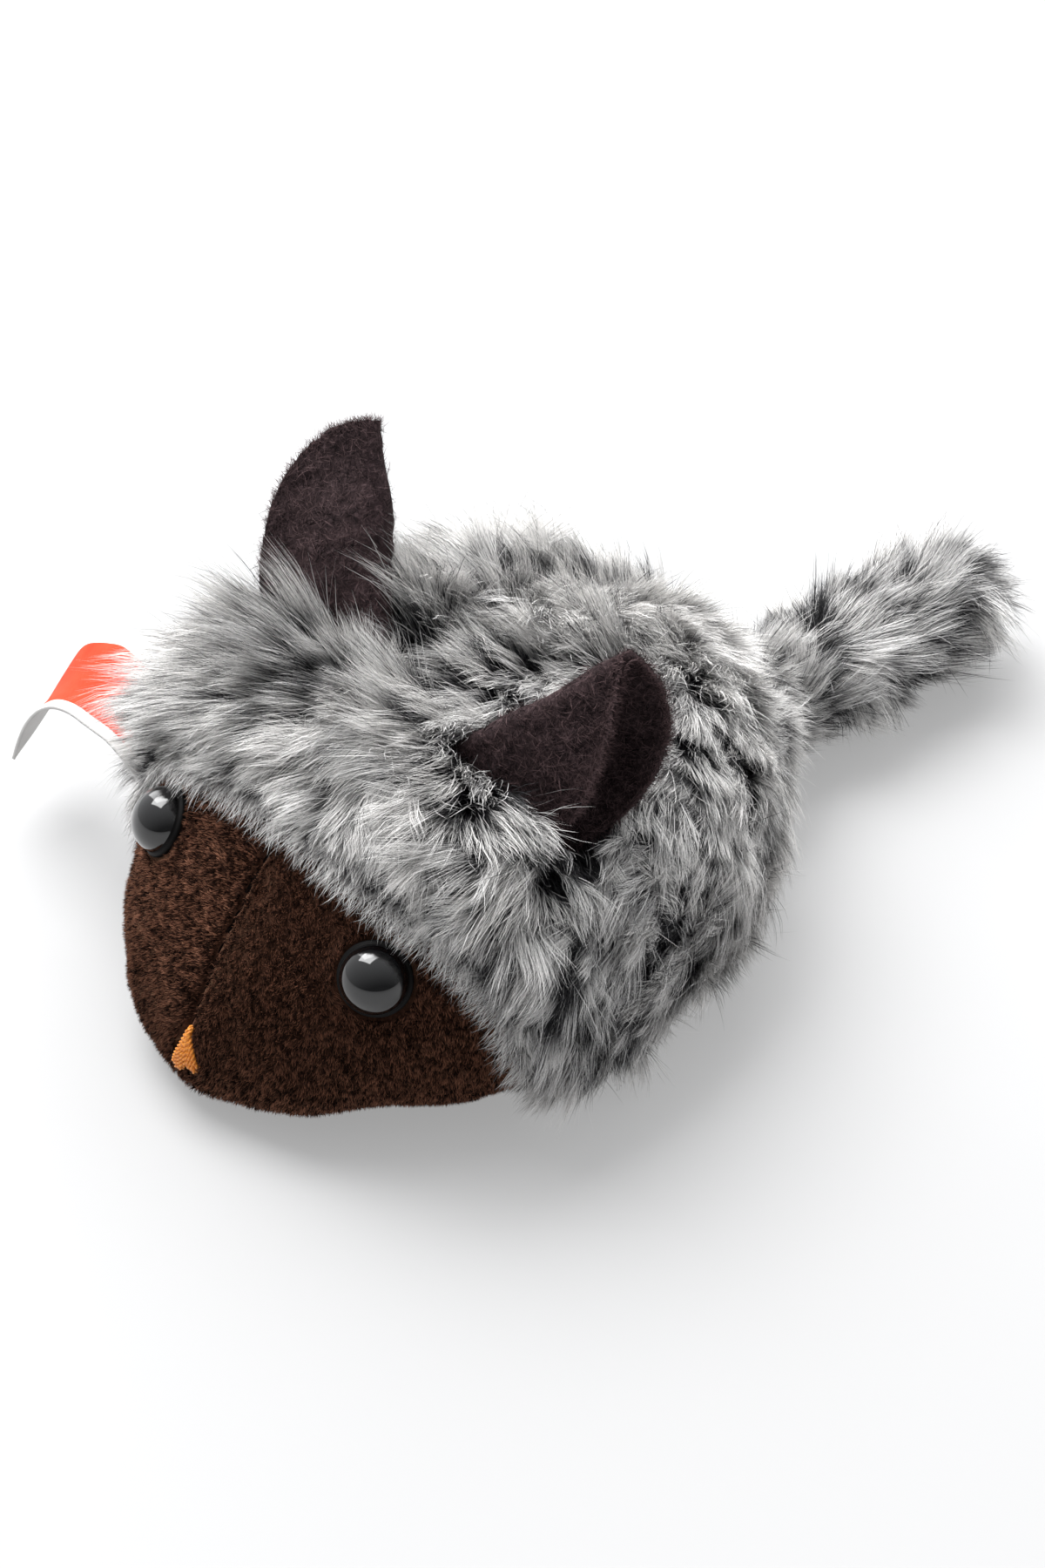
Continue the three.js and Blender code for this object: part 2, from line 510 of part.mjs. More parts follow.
function tube(outer, inner, m) {        // inner is a blind hole that opens at the root
  const list = [...inner].reverse().concat(outer);
  return rings(tailRings(list, m));
}
const TL = TAIL_END_Y - TAIL_PIVOT[1];
const TAIL_OUT = [[-4.6, 3.2], [-3.4, 4.5], [-1.6, 5.4], [1, 5.6], [5, 5.5], [10, 5.7], [16, 6.1], [22, TAIL_R], [28, TAIL_R], [32, 6.0], [34.8, 4.9], [36.5, 3.1], [TL, 0.8]];
const TAIL_IN = [[-4.6, 2.4], [-3.0, 3.0], [0, 3.2], [5, 3.2], [16, 3.7], [28, 4.0], [32, 3.2], [34.2, 1.2]];
const TAIL_FILL = [[4.4, 2.2], [5.2, 2.85], [16, 3.35], [28, 3.6], [31.6, 2.8], [33.4, 0.9]];
function tailThread() {                 // wraps of anchoring thread around each other
  const list = [];
  for (const [a, b, r] of [[0, 0, 1.9], [Math.PI / 2, 0, 1.75], [Math.PI / 4, 0.6, 1.85]]) {
    const g = new THREE.TorusGeometry(r, 0.45, 5, 12);
    g.deleteAttribute('normal'); g.deleteAttribute('uv');
    const m = mergeVertices(g, 1e-5);
    list.push(moved(closed([...m.attributes.position.array], [...m.index.array]),
      new THREE.Matrix4().makeTranslation(...TAIL_PIVOT).multiply(new THREE.Matrix4().makeRotationFromEuler(new THREE.Euler(b, a, 0)))));
  }
  return join(list);
}
const tailRoom = moved(lathe([[0, -6.3], ...Array.from({ length: 9 }, (_, k) => { const a = rad(-78 + 156 * k / 8); return [6.3 * Math.cos(a), 6.3 * Math.sin(a)]; }), [0, 6.3]], 24),
  new THREE.Matrix4().makeTranslation(...TAIL_PIVOT));

// ---------------------------------------------------------------- colours
const mat = (color, roughness, metalness = 0) => new THREE.MeshStandardMaterial({ color, roughness, metalness });
const SUEDE = mat(0x3c261a, 0.95), FUR = mat(0x8f8c8b, 1.0), FELT = mat(0x3a2a28, 1.0);
const EYE = mat(0x060607, 0.06), THREAD = mat(0xe07a1e, 0.5), RIBBON = mat(0xd8452f, 0.35);
const WHITE = mat(0xe9e6e0, 0.9), HERB = mat(0x6d7a45, 1.0), WASHER = mat(0xdcdcd8, 0.5), KNOT = mat(0x4a4644, 0.8);

// ---------------------------------------------------------------- assembly
const mouse = new THREE.Group();
function add(name, g, material) {
  const m = new THREE.Mesh(g, material);
  m.name = name;
  mouse.add(m);
}
const earL = earRoom('ear_left'), earR = earRoom('ear_right');
const faceL = cut(faceL0, [eyeL.postHole]), faceR = cut(faceR0, [eyeR.postHole]);
const headL = biggest(cut(headL0, earL)), headR = biggest(cut(headR0, [...earR, ...labelClear(), labelFoot()]));
const backL = biggest(cut(backL0, [...earL, tailRoom])), backR = biggest(cut(mirrored(backL0), [...earR, tailRoom]));

add('face_panel_left', faceL, SUEDE);
add('face_panel_right', faceR, SUEDE);
add('belly_panel', bellyPanel(), SUEDE);
add('head_fur_left', headL, FUR);
add('head_fur_right', headR, FUR);
add('back_fur_left', backL, FUR);
add('back_fur_right', backR, FUR);
add('ear_left', earSheet('ear_left', FELT_T), FELT);
add('ear_right', earSheet('ear_right', FELT_T), FELT);
add('eye_left', eyeL.eye, EYE);
add('eye_right', eyeR.eye, EYE);
add('eye_washer_left', eyeL.washer, WASHER);
add('eye_washer_right', eyeR.washer, WASHER);
add('nose_stitching', noseShape(), THREAD);
add('side_label', labelSheet(LABEL_T), RIBBON);
const postWells = [eyeL.postWell, eyeR.postWell];
add('stuffing_front', biggest(cut(fill(-38.9, FILL_SPLIT - 0.2, 13), [...postWells, ...earL, ...earR, sachetRoom()])), WHITE);
add('stuffing_rear', biggest(cut(fill(FILL_SPLIT + 0.2, 46.9, 9), [sachetRoom(), tailRoom])), WHITE);
add('sachet_front_sheet', sachetSheet(-1), WHITE);
add('sachet_back_sheet', sachetSheet(1), WHITE);
add('catnip_filling', sachetFill(), HERB);
add('tail_thread', tailThread(), KNOT);
add('tail_fur_sleeve', tube(TAIL_OUT, TAIL_IN, 20), FUR);
add('tail_stuffing', rings(tailRings(TAIL_FILL, 16)), WHITE);

export default mouse;
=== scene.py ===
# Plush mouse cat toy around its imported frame. Lengths in the helpers are millimetres in the
# part's own frame (nose -Y, mouse's left +X, floor z = 0) and become metres in each mesh.
import bpy
import math
import numpy as np
from mathutils import Vector, Matrix


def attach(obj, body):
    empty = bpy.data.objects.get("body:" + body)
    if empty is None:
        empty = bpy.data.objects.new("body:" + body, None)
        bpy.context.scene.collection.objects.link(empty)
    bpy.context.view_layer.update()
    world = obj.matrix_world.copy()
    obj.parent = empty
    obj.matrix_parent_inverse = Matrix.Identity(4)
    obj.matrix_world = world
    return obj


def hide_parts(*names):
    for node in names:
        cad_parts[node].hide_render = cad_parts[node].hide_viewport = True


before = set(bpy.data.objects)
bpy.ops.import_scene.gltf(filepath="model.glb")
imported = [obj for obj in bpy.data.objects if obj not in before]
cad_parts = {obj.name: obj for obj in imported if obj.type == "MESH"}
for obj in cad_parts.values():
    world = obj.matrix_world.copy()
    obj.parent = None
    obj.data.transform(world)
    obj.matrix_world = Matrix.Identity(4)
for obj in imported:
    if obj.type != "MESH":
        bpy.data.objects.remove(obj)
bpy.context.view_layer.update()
MM = 0.001

# ------------------------------------------------------------------ camera
AZ, EL, DIST = math.radians(47.0), math.radians(38.0), 0.520
TARGET = Vector((0.0, 0.0126, 0.0187))
out = Vector((math.sin(AZ) * math.cos(EL), -math.cos(AZ) * math.cos(EL), math.sin(EL)))
right = Vector((math.cos(AZ), math.sin(AZ), 0.0))
up = out.cross(right)
cam = bpy.data.cameras.new("camera")
cam.sensor_fit = "AUTO"
cam.sensor_width = 36.0
cam.lens = 4983.0 / 1800.0 * 36.0
cam.clip_start, cam.clip_end = 0.02, 20.0
cam_o = bpy.data.objects.new("camera", cam)
bpy.context.scene.collection.objects.link(cam_o)
cam_o.matrix_world = Matrix.Translation(TARGET + out * DIST) @ Matrix((right, up, out)).transposed().to_4x4()
bpy.context.scene.camera = cam_o

# ------------------------------------------------------------------ the body's surface
SECT = np.array([
    [-40.8, 0.7, 8.4, 5.6, 7.0], [-40.0, 5.2, 11.4, 2.8, 6.8], [-38.2, 11.0, 15.2, 2.5, 7.8],
    [-35.6, 15.8, 19.8, 1.8, 9.2], [-32.0, 19.9, 24.9, 1.0, 11.2], [-28.0, 23.1, 30.2, 0.1, 13.2],
    [-24.0, 26.2, 34.6, -0.9, 15.0], [-18.0, 30.0, 38.8, -2.2, 16.6], [-10.0, 32.8, 42.0, -2.2, 17.6],
    [0.0, 33.4, 43.6, -2.2, 18.0], [12.0, 32.2, 43.2, -2.2, 18.0], [24.0, 28.4, 39.8, -2.2, 17.4],
    [34.0, 21.2, 33.2, -2.0, 15.6], [42.0, 13.6, 25.4, -1.0, 13.0], [47.0, 9.4, 20.0, 1.2, 11.4],
    [51.0, 6.8, 16.4, 3.6, 10.2], [54.0, 5.0, 14.4, 5.2, 9.8]])
NOSE_Y, REAR_Y, CREASE_Y = -40.8, 49.8, -4.5
EYE_AT = {1: (19.2, -27.7), -1: (16.8, -28.1)}   # |x| and y of the left and the right eye
TAIL_PIVOT = np.array([0.0, 54.4, 9.8])
TAIL_END_Y = 92.5


def pchip(x, y):
    d = np.diff(y) / np.diff(x)
    m = np.zeros(len(x))
    for i in range(1, len(x) - 1):
        if d[i - 1] * d[i] > 0:
            h0, h1 = x[i] - x[i - 1], x[i + 1] - x[i]
            w1, w2 = 2 * h1 + h0, h1 + 2 * h0
            m[i] = (w1 + w2) / (w1 / d[i - 1] + w2 / d[i])
    m[0], m[-1] = d[0], d[-1]

    def f(v):
        v = np.clip(np.asarray(v, float), x[0], x[-1])
        i = np.clip(np.searchsorted(x, v, side="right") - 1, 0, len(x) - 2)
        h = x[i + 1] - x[i]
        t = (v - x[i]) / h
        t2, t3 = t * t, t * t * t
        return ((2 * t3 - 3 * t2 + 1) * y[i] + (t3 - 2 * t2 + t) * h * m[i]
                + (-2 * t3 + 3 * t2) * y[i + 1] + (t3 - t2) * h * m[i + 1])
    return f


half_w, top_z, bot_z, mid_z = (pchip(SECT[:, 0], SECT[:, c]) for c in (1, 2, 3, 4))


def smooth(x, a, b):
    t = np.clip((np.asarray(x, float) - a) / (b - a), 0, 1)
    return t * t * (3 - 2 * t)


MID, REACH = np.array([0.0, 5.0, 22.0]), np.array([31.0, 47.0, 22.0])
eye_z = {1: 23.5, -1: 23.5}
HALF = [1]      # the half being made, 1 for the mouse's left: everything is worked out on the left and mirrored


def skin(y, phi, o=0.0, seam=1.0):
    y, phi = np.broadcast_arrays(np.asarray(y, float), np.asarray(phi, float))
    y = y.copy()
    c, s = np.cos(phi), np.sin(phi)
    e = np.where(s > 0, 2 / 2.1, 2 / (2.15 + 0.45 * smooth(y, -35, -14)))
    w, zm = half_w(y), mid_z(y)
    x = w * np.sign(c) * np.abs(c) ** e
    z = zm + np.where(s > 0, top_z(y) - zm, zm - bot_z(y)) * np.sign(s) * np.abs(s) ** e
    upper = s > 0
    back, tail = smooth(y, -29, -22), 1 - smooth(y, 40, 50)
    z = z - np.where(upper, seam * (0.55 + 1.1 * back * tail) * np.exp(-((x / 2.4) ** 2)) * smooth(y, -42, -38), 0)
    crease = np.where(upper, 0.045 * np.exp(-(((y - CREASE_Y) / 3.2) ** 2)) * smooth(s, 0.1, 0.6), 0)
    x = x * (1 - crease)
    z = np.where(upper, MID[2] + (z - MID[2]) * (1 - crease), z)
    ex, ey = EYE_AT[HALF[0]]
    r = np.sqrt((np.abs(x) - ex) ** 2 + (y - ey) ** 2 + ((z - eye_z[HALF[0]]) * 0.8) ** 2)
    dip = np.where(upper, 1 - 0.024 * (1 - smooth(r, 1.5, 7.5)), 1)
    x = x * dip
    z = np.where(upper, MID[2] + (z - MID[2]) * dip, z)
    y = MID[1] + (y - MID[1]) * (1 - 0.6 * (1 - dip))
    z = np.maximum(z, 0)
    o = np.asarray(o, float)
    p = np.stack([x * (1 + o / REACH[0]), MID[1] + (y - MID[1]) * (1 + o / REACH[1]),
                  MID[2] + (z - MID[2]) * (1 + o / REACH[2])], -1)
    p[..., 2] = np.maximum(p[..., 2], 0)
    return p


def face_edge(phi):
    d = np.degrees(phi)
    y = -24.2 + 7.0 * smooth(70 - d, 0, 75) + 7.0 * smooth(6 - d, 0, 46)
    if HALF[0] < 0:
        y = y - 4.2 * smooth(50 - d, 0, 30) * (1 - smooth(-d, 5, 35))
    return y


BELLY_A, BELLY_B = -36.6, 47.6


def belly_angle(y):
    t = np.clip((y - BELLY_A) / (BELLY_B - BELLY_A), 0, 1)
    h = 38 * np.sqrt(np.maximum(0, 1 - np.abs(2 * t - 1) ** 2.6))
    return np.radians(-90 + h)


def frame_at(y, phi, o=0.0):
    """Point, tangent towards the tail, tangent round the body (upwards on the left) and normal."""
    e = 0.05
    p = skin(y, phi, o)
    ty = skin(y + e, phi, o) - skin(y - e, phi, o)
    tp = skin(y, phi + 0.004, o) - skin(y, phi - 0.004, o)
    ty /= np.linalg.norm(ty, axis=-1, keepdims=True) + 1e-12
    tp /= np.linalg.norm(tp, axis=-1, keepdims=True) + 1e-12
    n = np.cross(tp, ty)
    n /= np.linalg.norm(n, axis=-1, keepdims=True) + 1e-12
    flip = np.sign(np.sum(n * (p - MID), -1, keepdims=True))
    return p, ty, tp, n * np.where(flip == 0, 1, flip)


def surface_at(x, y):
    lo, hi = math.radians(2), math.radians(88)
    for _ in range(40):
        m = (lo + hi) / 2
        lo, hi = (m, hi) if skin(y, m)[0] > x else (lo, m)
    return lo


EYES = {}
for _k in (1, -1):
    HALF[0] = _k
    _x, _y = EYE_AT[_k]
    for _ in range(3):
        eye_z[_k] = float(skin(_y, surface_at(_x, _y))[2] + 0.2)
    _phi = surface_at(_x - 0.3, _y)
    _p = skin(_y, _phi)
    _a = skin(_y + 1.4, _phi) - skin(_y - 1.4, _phi)
    _b = skin(_y, _phi + 0.06) - skin(_y, _phi - 0.06)
    _n = np.cross(_a, _b)
    _n /= np.linalg.norm(_n)
    EYES[_k] = (_p, _n * np.sign(np.dot(_n, _p - MID)))
HALF[0] = 1


def field(seed, wave, n=16):
    """A smooth random scalar field of about unit variance, with features of the given size in mm."""
    r = np.random.default_rng(seed)
    k = r.normal(size=(n, 3))
    k *= (2 * np.pi / wave) / np.linalg.norm(k, axis=1, keepdims=True) * r.uniform(0.6, 1.4, (n, 1))
    ph = r.uniform(0, 2 * np.pi, n)
    return lambda p: np.cos(p @ k.T + ph).sum(-1) * math.sqrt(2.0 / n)


# ------------------------------------------------------------------ mesh helpers
def unit(v):
    return v / (np.linalg.norm(v, axis=-1, keepdims=True) + 1e-12)


def make_mesh(name, verts_mm, loops, starts, totals, uv=None, mats=(), mat_index=None, body="body", smooth_shade=True):
    me = bpy.data.meshes.new(name)
    v = np.ascontiguousarray(verts_mm, dtype=np.float64) * MM
    me.vertices.add(len(v))
    me.vertices.foreach_set("co", v.astype(np.float32).ravel())
    me.loops.add(len(loops))
    me.loops.foreach_set("vertex_index", np.asarray(loops, np.int32))
    me.polygons.add(len(starts))
    me.polygons.foreach_set("loop_start", np.asarray(starts, np.int32))
    me.polygons.foreach_set("loop_total", np.asarray(totals, np.int32))
    if smooth_shade:
        me.polygons.foreach_set("use_smooth", np.ones(len(starts), bool))
    for m in mats:
        me.materials.append(m)
    if mat_index is not None:
        me.polygons.foreach_set("material_index", np.asarray(mat_index, np.int32))
    if uv is not None:
        layer = me.uv_layers.new(name="OFBake")
        layer.data.foreach_set("uv", np.asarray(uv, np.float32).ravel())
    me.update(calc_edges=True)
    me.validate()
    ob = bpy.data.objects.new(name, me)
    bpy.context.scene.collection.objects.link(ob)
    if body:
        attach(ob, body)
    return ob


def slab(name, outer, inner, mats, body="body", uv=None, cell_mat=None):
    """A closed solid between two grids of the same shape (nu, nv, 3)."""
    nu, nv = outer.shape[0] - 1, outer.shape[1] - 1
    n = (nu + 1) * (nv + 1)
    verts = np.concatenate([outer.reshape(-1, 3), inner.reshape(-1, 3)])
    i, j = np.meshgrid(np.arange(nu), np.arange(nv), indexing="ij")
    a = i * (nv + 1) + j
    q = np.stack([a, a + nv + 1, a + nv + 2, a + 1], -1).reshape(-1, 4)
    quads = [q, q[:, ::-1] + n]
    cm = np.zeros(len(q), int) if cell_mat is None else np.asarray(cell_mat(i, j, nu, nv)).reshape(-1)
    mi = [cm, cm]
    for k, (e0, e1, rev) in enumerate([(0, 0, False), (nv, nv, True)]):
        s = np.arange(nu)
        A, B = s * (nv + 1) + e0, (s + 1) * (nv + 1) + e0
        w = np.stack([A, A + n, B + n, B], -1)
        quads.append(w[:, ::-1] if rev else w)
        mi.append(cm.reshape(nu, nv)[:, 0 if not rev else nv - 1])
    for e0, rev in [(0, False), (nu, True)]:
        s = np.arange(nv)
        A, B = e0 * (nv + 1) + s, e0 * (nv + 1) + s + 1
        w = np.stack([A, B, B + n, A + n], -1)
        quads.append(w[:, ::-1] if rev else w)
        mi.append(cm.reshape(nu, nv)[0 if not rev else nu - 1, :])
    f = np.concatenate(quads)
    mi = np.concatenate(mi)
    p = verts[f]
    vol = np.einsum("ij,ij->i", p[:, 0], np.cross(p[:, 1] - p[:, 0], p[:, 2] - p[:, 0])).sum() \
        + np.einsum("ij,ij->i", p[:, 0], np.cross(p[:, 2] - p[:, 0], p[:, 3] - p[:, 0])).sum()
    if vol < 0:
        f = f[:, ::-1]
    m = len(f)
    return make_mesh(name, verts, f.ravel(), np.arange(m) * 4, np.full(m, 4), mats=mats, mat_index=mi, body=body)


def rings_mesh(name, rings, mats, body="body"):
    """A closed solid through rings of points (n, m, 3), with a fan at each end."""
    n, m, _ = rings.shape
    verts = np.concatenate([rings.reshape(-1, 3), rings[0].mean(0)[None], rings[-1].mean(0)[None]])
    i, j = np.meshgrid(np.arange(n - 1), np.arange(m), indexing="ij")
    k = (j + 1) % m
    q = np.stack([i * m + j, i * m + k, (i + 1) * m + k, (i + 1) * m + j], -1).reshape(-1, 4)
    jj = np.arange(m)
    t0 = np.stack([np.full(m, n * m), (jj + 1) % m, jj], -1)
    t1 = np.stack([np.full(m, n * m + 1), (n - 1) * m + jj, (n - 1) * m + (jj + 1) % m], -1)
    p = verts[q]
    vol = np.einsum("ij,ij->i", p[:, 0], np.cross(p[:, 1] - p[:, 0], p[:, 2] - p[:, 0])).sum()
    if vol < 0:
        q, t0, t1 = q[:, ::-1], t0[:, ::-1], t1[:, ::-1]
    loops = np.concatenate([q.ravel(), t0.ravel(), t1.ravel()])
    totals = np.concatenate([np.full(len(q), 4), np.full(2 * m, 3)])
    starts = np.concatenate([[0], np.cumsum(totals)[:-1]])
    return make_mesh(name, verts, loops, starts, totals, mats=mats, body=body)


def strands(name, C, radius, tone, mats, body="body", taper=None, seed=0):
    """Closed three-sided hairs along curves C (N, K, 3). The hair's tone runs along the map's first
    axis and its length along the second, so the colour of a hair depends on the map alone."""
    N, K, _ = C.shape
    r = np.random.default_rng(seed)
    T = np.gradient(C, axis=1)
    T = unit(T)
    ref = unit(r.normal(size=(N, 1, 3)))
    A = unit(np.cross(T, np.broadcast_to(ref, T.shape)))
    B = np.cross(T, A)
    if taper is None:
        taper = np.linspace(1.0, 0.45, K)
    rad = np.asarray(radius)[:, None] * taper[None, :]
    ang = np.array([0, 2 * np.pi / 3, 4 * np.pi / 3])
    ring = C[:, :-1, None, :] + rad[:, :-1, None, None] * (
        np.cos(ang)[None, None, :, None] * A[:, :-1, None, :] + np.sin(ang)[None, None, :, None] * B[:, :-1, None, :])
    per = (K - 1) * 3 + 1
    verts = np.concatenate([ring.reshape(N, -1, 3), C[:, -1:, :]], 1).reshape(-1, 3)
    q, quv = [], []
    du = 0.004
    off = [-du, 0.0, du]
    for i in range(K - 2):
        for s in range(3):
            t = (s + 1) % 3
            q.append([i * 3 + s, i * 3 + t, (i + 1) * 3 + t, (i + 1) * 3 + s])
            v0, v1 = i / (K - 1), (i + 1) / (K - 1)
            quv.append([(off[s], v0), (off[t], v0), (off[t], v1), (off[s], v1)])
    t3, tuv = [[0, 2, 1]], [[(off[0], 0), (off[2], 0), (off[1], 0.01)]]
    last = (K - 2) * 3
    for s in range(3):
        t = (s + 1) % 3
        t3.append([last + s, last + t, (K - 1) * 3])
        v0 = (K - 2) / (K - 1)
        tuv.append([(off[s], v0), (off[t], v0), (0.0, 1.0)])
    q, t3 = np.array(q).reshape(-1, 4) if q else np.zeros((0, 4), int), np.array(t3)
    base = (np.arange(N) * per)[:, None, None]
    ql, tl = (base + q[None]).reshape(-1), (base + t3[None]).reshape(-1)
    loops = np.concatenate([ql, tl])
    totals = np.concatenate([np.full(N * len(q), 4), np.full(N * len(t3), 3)])
    starts = np.concatenate([[0], np.cumsum(totals)[:-1]])
    quv, tuv = np.array(quv, float).reshape(-1, 2), np.array(tuv, float).reshape(-1, 2)
    tone = np.clip(tone, 0.01, 0.99)[:, None]
    uq = np.stack([tone + quv[None, :, 0], np.broadcast_to(quv[None, :, 1], (N, len(quv)))], -1).reshape(-1, 2)
    ut = np.stack([tone + tuv[None, :, 0], np.broadcast_to(tuv[None, :, 1], (N, len(tuv)))], -1).reshape(-1, 2)
    uv = np.concatenate([uq, ut])
    uv = 0.002 + 0.996 * np.clip(uv, 0, 1)
    return make_mesh(name, verts, loops, starts, totals, uv=uv, mats=mats, body=body)


def ribbons(name, C, width, tone, mats, body="body", taper=None, seed=0, face=None):
    """Fine hairs along curves C (N, K, 3), each a flat fibre that narrows to a point. The hair's tone
    runs along the map's first axis and its length along the second, so its colour depends on the map alone."""
    N, K, _ = C.shape
    r = np.random.default_rng(seed)
    T = unit(np.gradient(C, axis=1))
    ref = r.normal(size=(N, 3))
    ref = unit(ref) if face is None else unit(face + 0.55 * ref)
    A = unit(np.cross(T, np.broadcast_to(ref[:, None], T.shape)))
    if taper is None:
        taper = np.linspace(1.0, 0.45, K)
    h = 0.5 * np.asarray(width)[:, None] * taper[None, :]
    L = C[:, :-1] - A[:, :-1] * h[:, :-1, None]
    R = C[:, :-1] + A[:, :-1] * h[:, :-1, None]
    per = 2 * (K - 1) + 1
    verts = np.concatenate([np.stack([L, R], 2).reshape(N, -1, 3), C[:, -1:, :]], 1).reshape(-1, 3)
    q = np.array([[2 * i, 2 * i + 1, 2 * i + 3, 2 * i + 2] for i in range(K - 2)])
    t3 = np.array([2 * (K - 2), 2 * (K - 2) + 1, 2 * (K - 1)])
    du = 0.004
    quv = np.array([[(-du, i / (K - 1)), (du, i / (K - 1)), (du, (i + 1) / (K - 1)), (-du, (i + 1) / (K - 1))] for i in range(K - 2)]).reshape(-1, 2)
    tuv = np.array([(-du, (K - 2) / (K - 1)), (du, (K - 2) / (K - 1)), (0, 1.0)])
    base = np.arange(N) * per
    loops = np.concatenate([(base[:, None, None] + q[None]).ravel(), (base[:, None] + t3[None]).ravel()])
    totals = np.concatenate([np.full(N * (K - 2), 4), np.full(N, 3)])
    starts = np.concatenate([[0], np.cumsum(totals)[:-1]])
    tone = np.clip(tone, 0.01, 0.99)[:, None]

    def spread(m):
        return np.stack([tone + m[None, :, 0], np.broadcast_to(m[None, :, 1], (N, len(m)))], -1).reshape(-1, 2)
    uv = 0.002 + 0.996 * np.clip(np.concatenate([spread(quv), spread(tuv)]), 0, 1)
    return make_mesh(name, verts, loops, starts, totals, uv=uv, mats=mats, body=body)


# ------------------------------------------------------------------ materials
def shader(name, rough=0.8, spec=0.3, sheen=0.0, sheen_rough=0.5, coat=0.0):
    m = bpy.data.materials.new(name)
    m.use_nodes = True
    nt = m.node_tree
    nt.nodes.clear()
    o = nt.nodes.new("ShaderNodeOutputMaterial")
    b = nt.nodes.new("ShaderNodeBsdfPrincipled")
    nt.links.new(b.outputs[0], o.inputs[0])
    b.inputs["Roughness"].default_value = rough
    b.inputs["Specular IOR Level"].default_value = spec
    b.inputs["Sheen Weight"].default_value = sheen
    b.inputs["Sheen Roughness"].default_value = sheen_rough
    b.inputs["Coat Weight"].default_value = coat
    return m, nt, b


def ramp(nt, stops, src=None):
    n = nt.nodes.new("ShaderNodeValToRGB")
    e = n.color_ramp.elements
    while len(e) > 1:
        e.remove(e[0])
    for k, (pos, col) in enumerate(stops):
        x = e[0] if k == 0 else e.new(pos)
        x.position = pos
        x.color = (*col, 1) if len(col) == 3 else col
    if src is not None:
        nt.links.new(src, n.inputs[0])
    return n.outputs[0]


def mapping(nt, scale=1.0):
    t = nt.nodes.new("ShaderNodeTexCoord")
    m = nt.nodes.new("ShaderNodeMapping")
    m.inputs["Scale"].default_value = (scale,) * 3 if isinstance(scale, (int, float)) else scale
    nt.links.new(t.outputs["Object"], m.inputs[0])
    return m.outputs[0]


def noise_tex(nt, vec, scale, detail=4.0, rough=0.55, distort=0.0):
    n = nt.nodes.new("ShaderNodeTexNoise")
    n.inputs["Scale"].default_value = scale
    n.inputs["Detail"].default_value = detail
    n.inputs["Roughness"].default_value = rough
    n.inputs["Distortion"].default_value = distort
    nt.links.new(vec, n.inputs["Vector"])
    return n.outputs["Fac"]


def mix(nt, a, b, fac, kind="MIX"):
    n = nt.nodes.new("ShaderNodeMix")
    n.data_type = "RGBA"
    n.blend_type = kind
    for sock, val in ((n.inputs[0], fac), (n.inputs[6], a), (n.inputs[7], b)):
        if hasattr(val, "is_output"):
            nt.links.new(val, sock)
        else:
            sock.default_value = val if isinstance(val, (int, float)) else (*val, 1)
    return n.outputs[2]


def math_node(nt, op, a, b=None, c=None):
    n = nt.nodes.new("ShaderNodeMath")
    n.operation = op
    for sock, val in zip(n.inputs, (a, b, c)):
        if val is None:
            continue
        if hasattr(val, "is_output"):
            nt.links.new(val, sock)
        else:
            sock.default_value = val
    return n.outputs[0]


def bump(nt, b, height, strength, dist):
    n = nt.nodes.new("ShaderNodeBump")
    n.inputs["Strength"].default_value = strength
    n.inputs["Distance"].default_value = dist
    nt.links.new(height, n.inputs["Height"])
    nt.links.new(n.outputs[0], b.inputs["Normal"])


def hair_shader(name, dark, light, tint=None, rough=0.55, spec=0.25, sheen=0.0):
    """Colour of a hair from the map: first axis tone (dark fibres low, pale ones high), second root to tip."""
    m, nt, b = shader(name, rough=rough, spec=spec, sheen=sheen, sheen_rough=0.4)
    uvn = nt.nodes.new("ShaderNodeUVMap")
    uvn.uv_map = "OFBake"
    sep = nt.nodes.new("ShaderNodeSeparateXYZ")
    nt.links.new(uvn.outputs[0], sep.inputs[0])
    u, v = sep.outputs[0], sep.outputs[1]
    dk, lt = ramp(nt, dark, v), ramp(nt, light, v)
    sel = ramp(nt, [(0.0, (0, 0, 0)), (0.22, (0, 0, 0)), (0.34, (1, 1, 1)), (1.0, (1, 1, 1))], u)
    gain = ramp(nt, [(0.0, (0.50, 0.50, 0.51)), (0.22, (1.4, 1.4, 1.42)), (0.34, (0.46, 0.46, 0.465)), (0.7, (0.93, 0.925, 0.92)), (1.0, (1.08, 1.07, 1.055))], u)
    col = mix(nt, dk, lt, sel)
    col = mix(nt, col, gain, 1.0, "MULTIPLY")
    nt.links.new(col, b.inputs["Base Color"])
    return m


# Both tones of the pile darken from the tip down to the root: painted shade deep in the pile.
FUR = hair_shader(
    "fur_pile",
    dark=[(0.0, (0.010, 0.010, 0.011)), (0.5, (0.020, 0.020, 0.021)), (1.0, (0.05, 0.05, 0.052))],
    light=[(0.0, (0.025, 0.0245, 0.026)), (0.22, (0.08, 0.079, 0.081)), (0.42, (0.34, 0.336, 0.338)), (0.62, (0.72, 0.714, 0.710)), (0.82, (0.86, 0.853, 0.847)), (1.0, (0.90, 0.891, 0.882))])
NAP = hair_shader(
    "suede_nap",
    dark=[(0.0, (0.008, 0.003, 0.002)), (1.0, (0.026, 0.0105, 0.0065))],
    light=[(0.0, (0.030, 0.0120, 0.0075)), (0.5, (0.150, 0.065, 0.041)), (1.0, (0.460, 0.215, 0.130))], rough=0.85, spec=0.08)
FELT_FUZZ = hair_shader(
    "felt_fuzz",
    dark=[(0.0, (0.004, 0.0026, 0.003)), (1.0, (0.012, 0.008, 0.009))],
    light=[(0.0, (0.020, 0.013, 0.014)), (1.0, (0.215, 0.142, 0.146))], rough=0.85, spec=0.08)


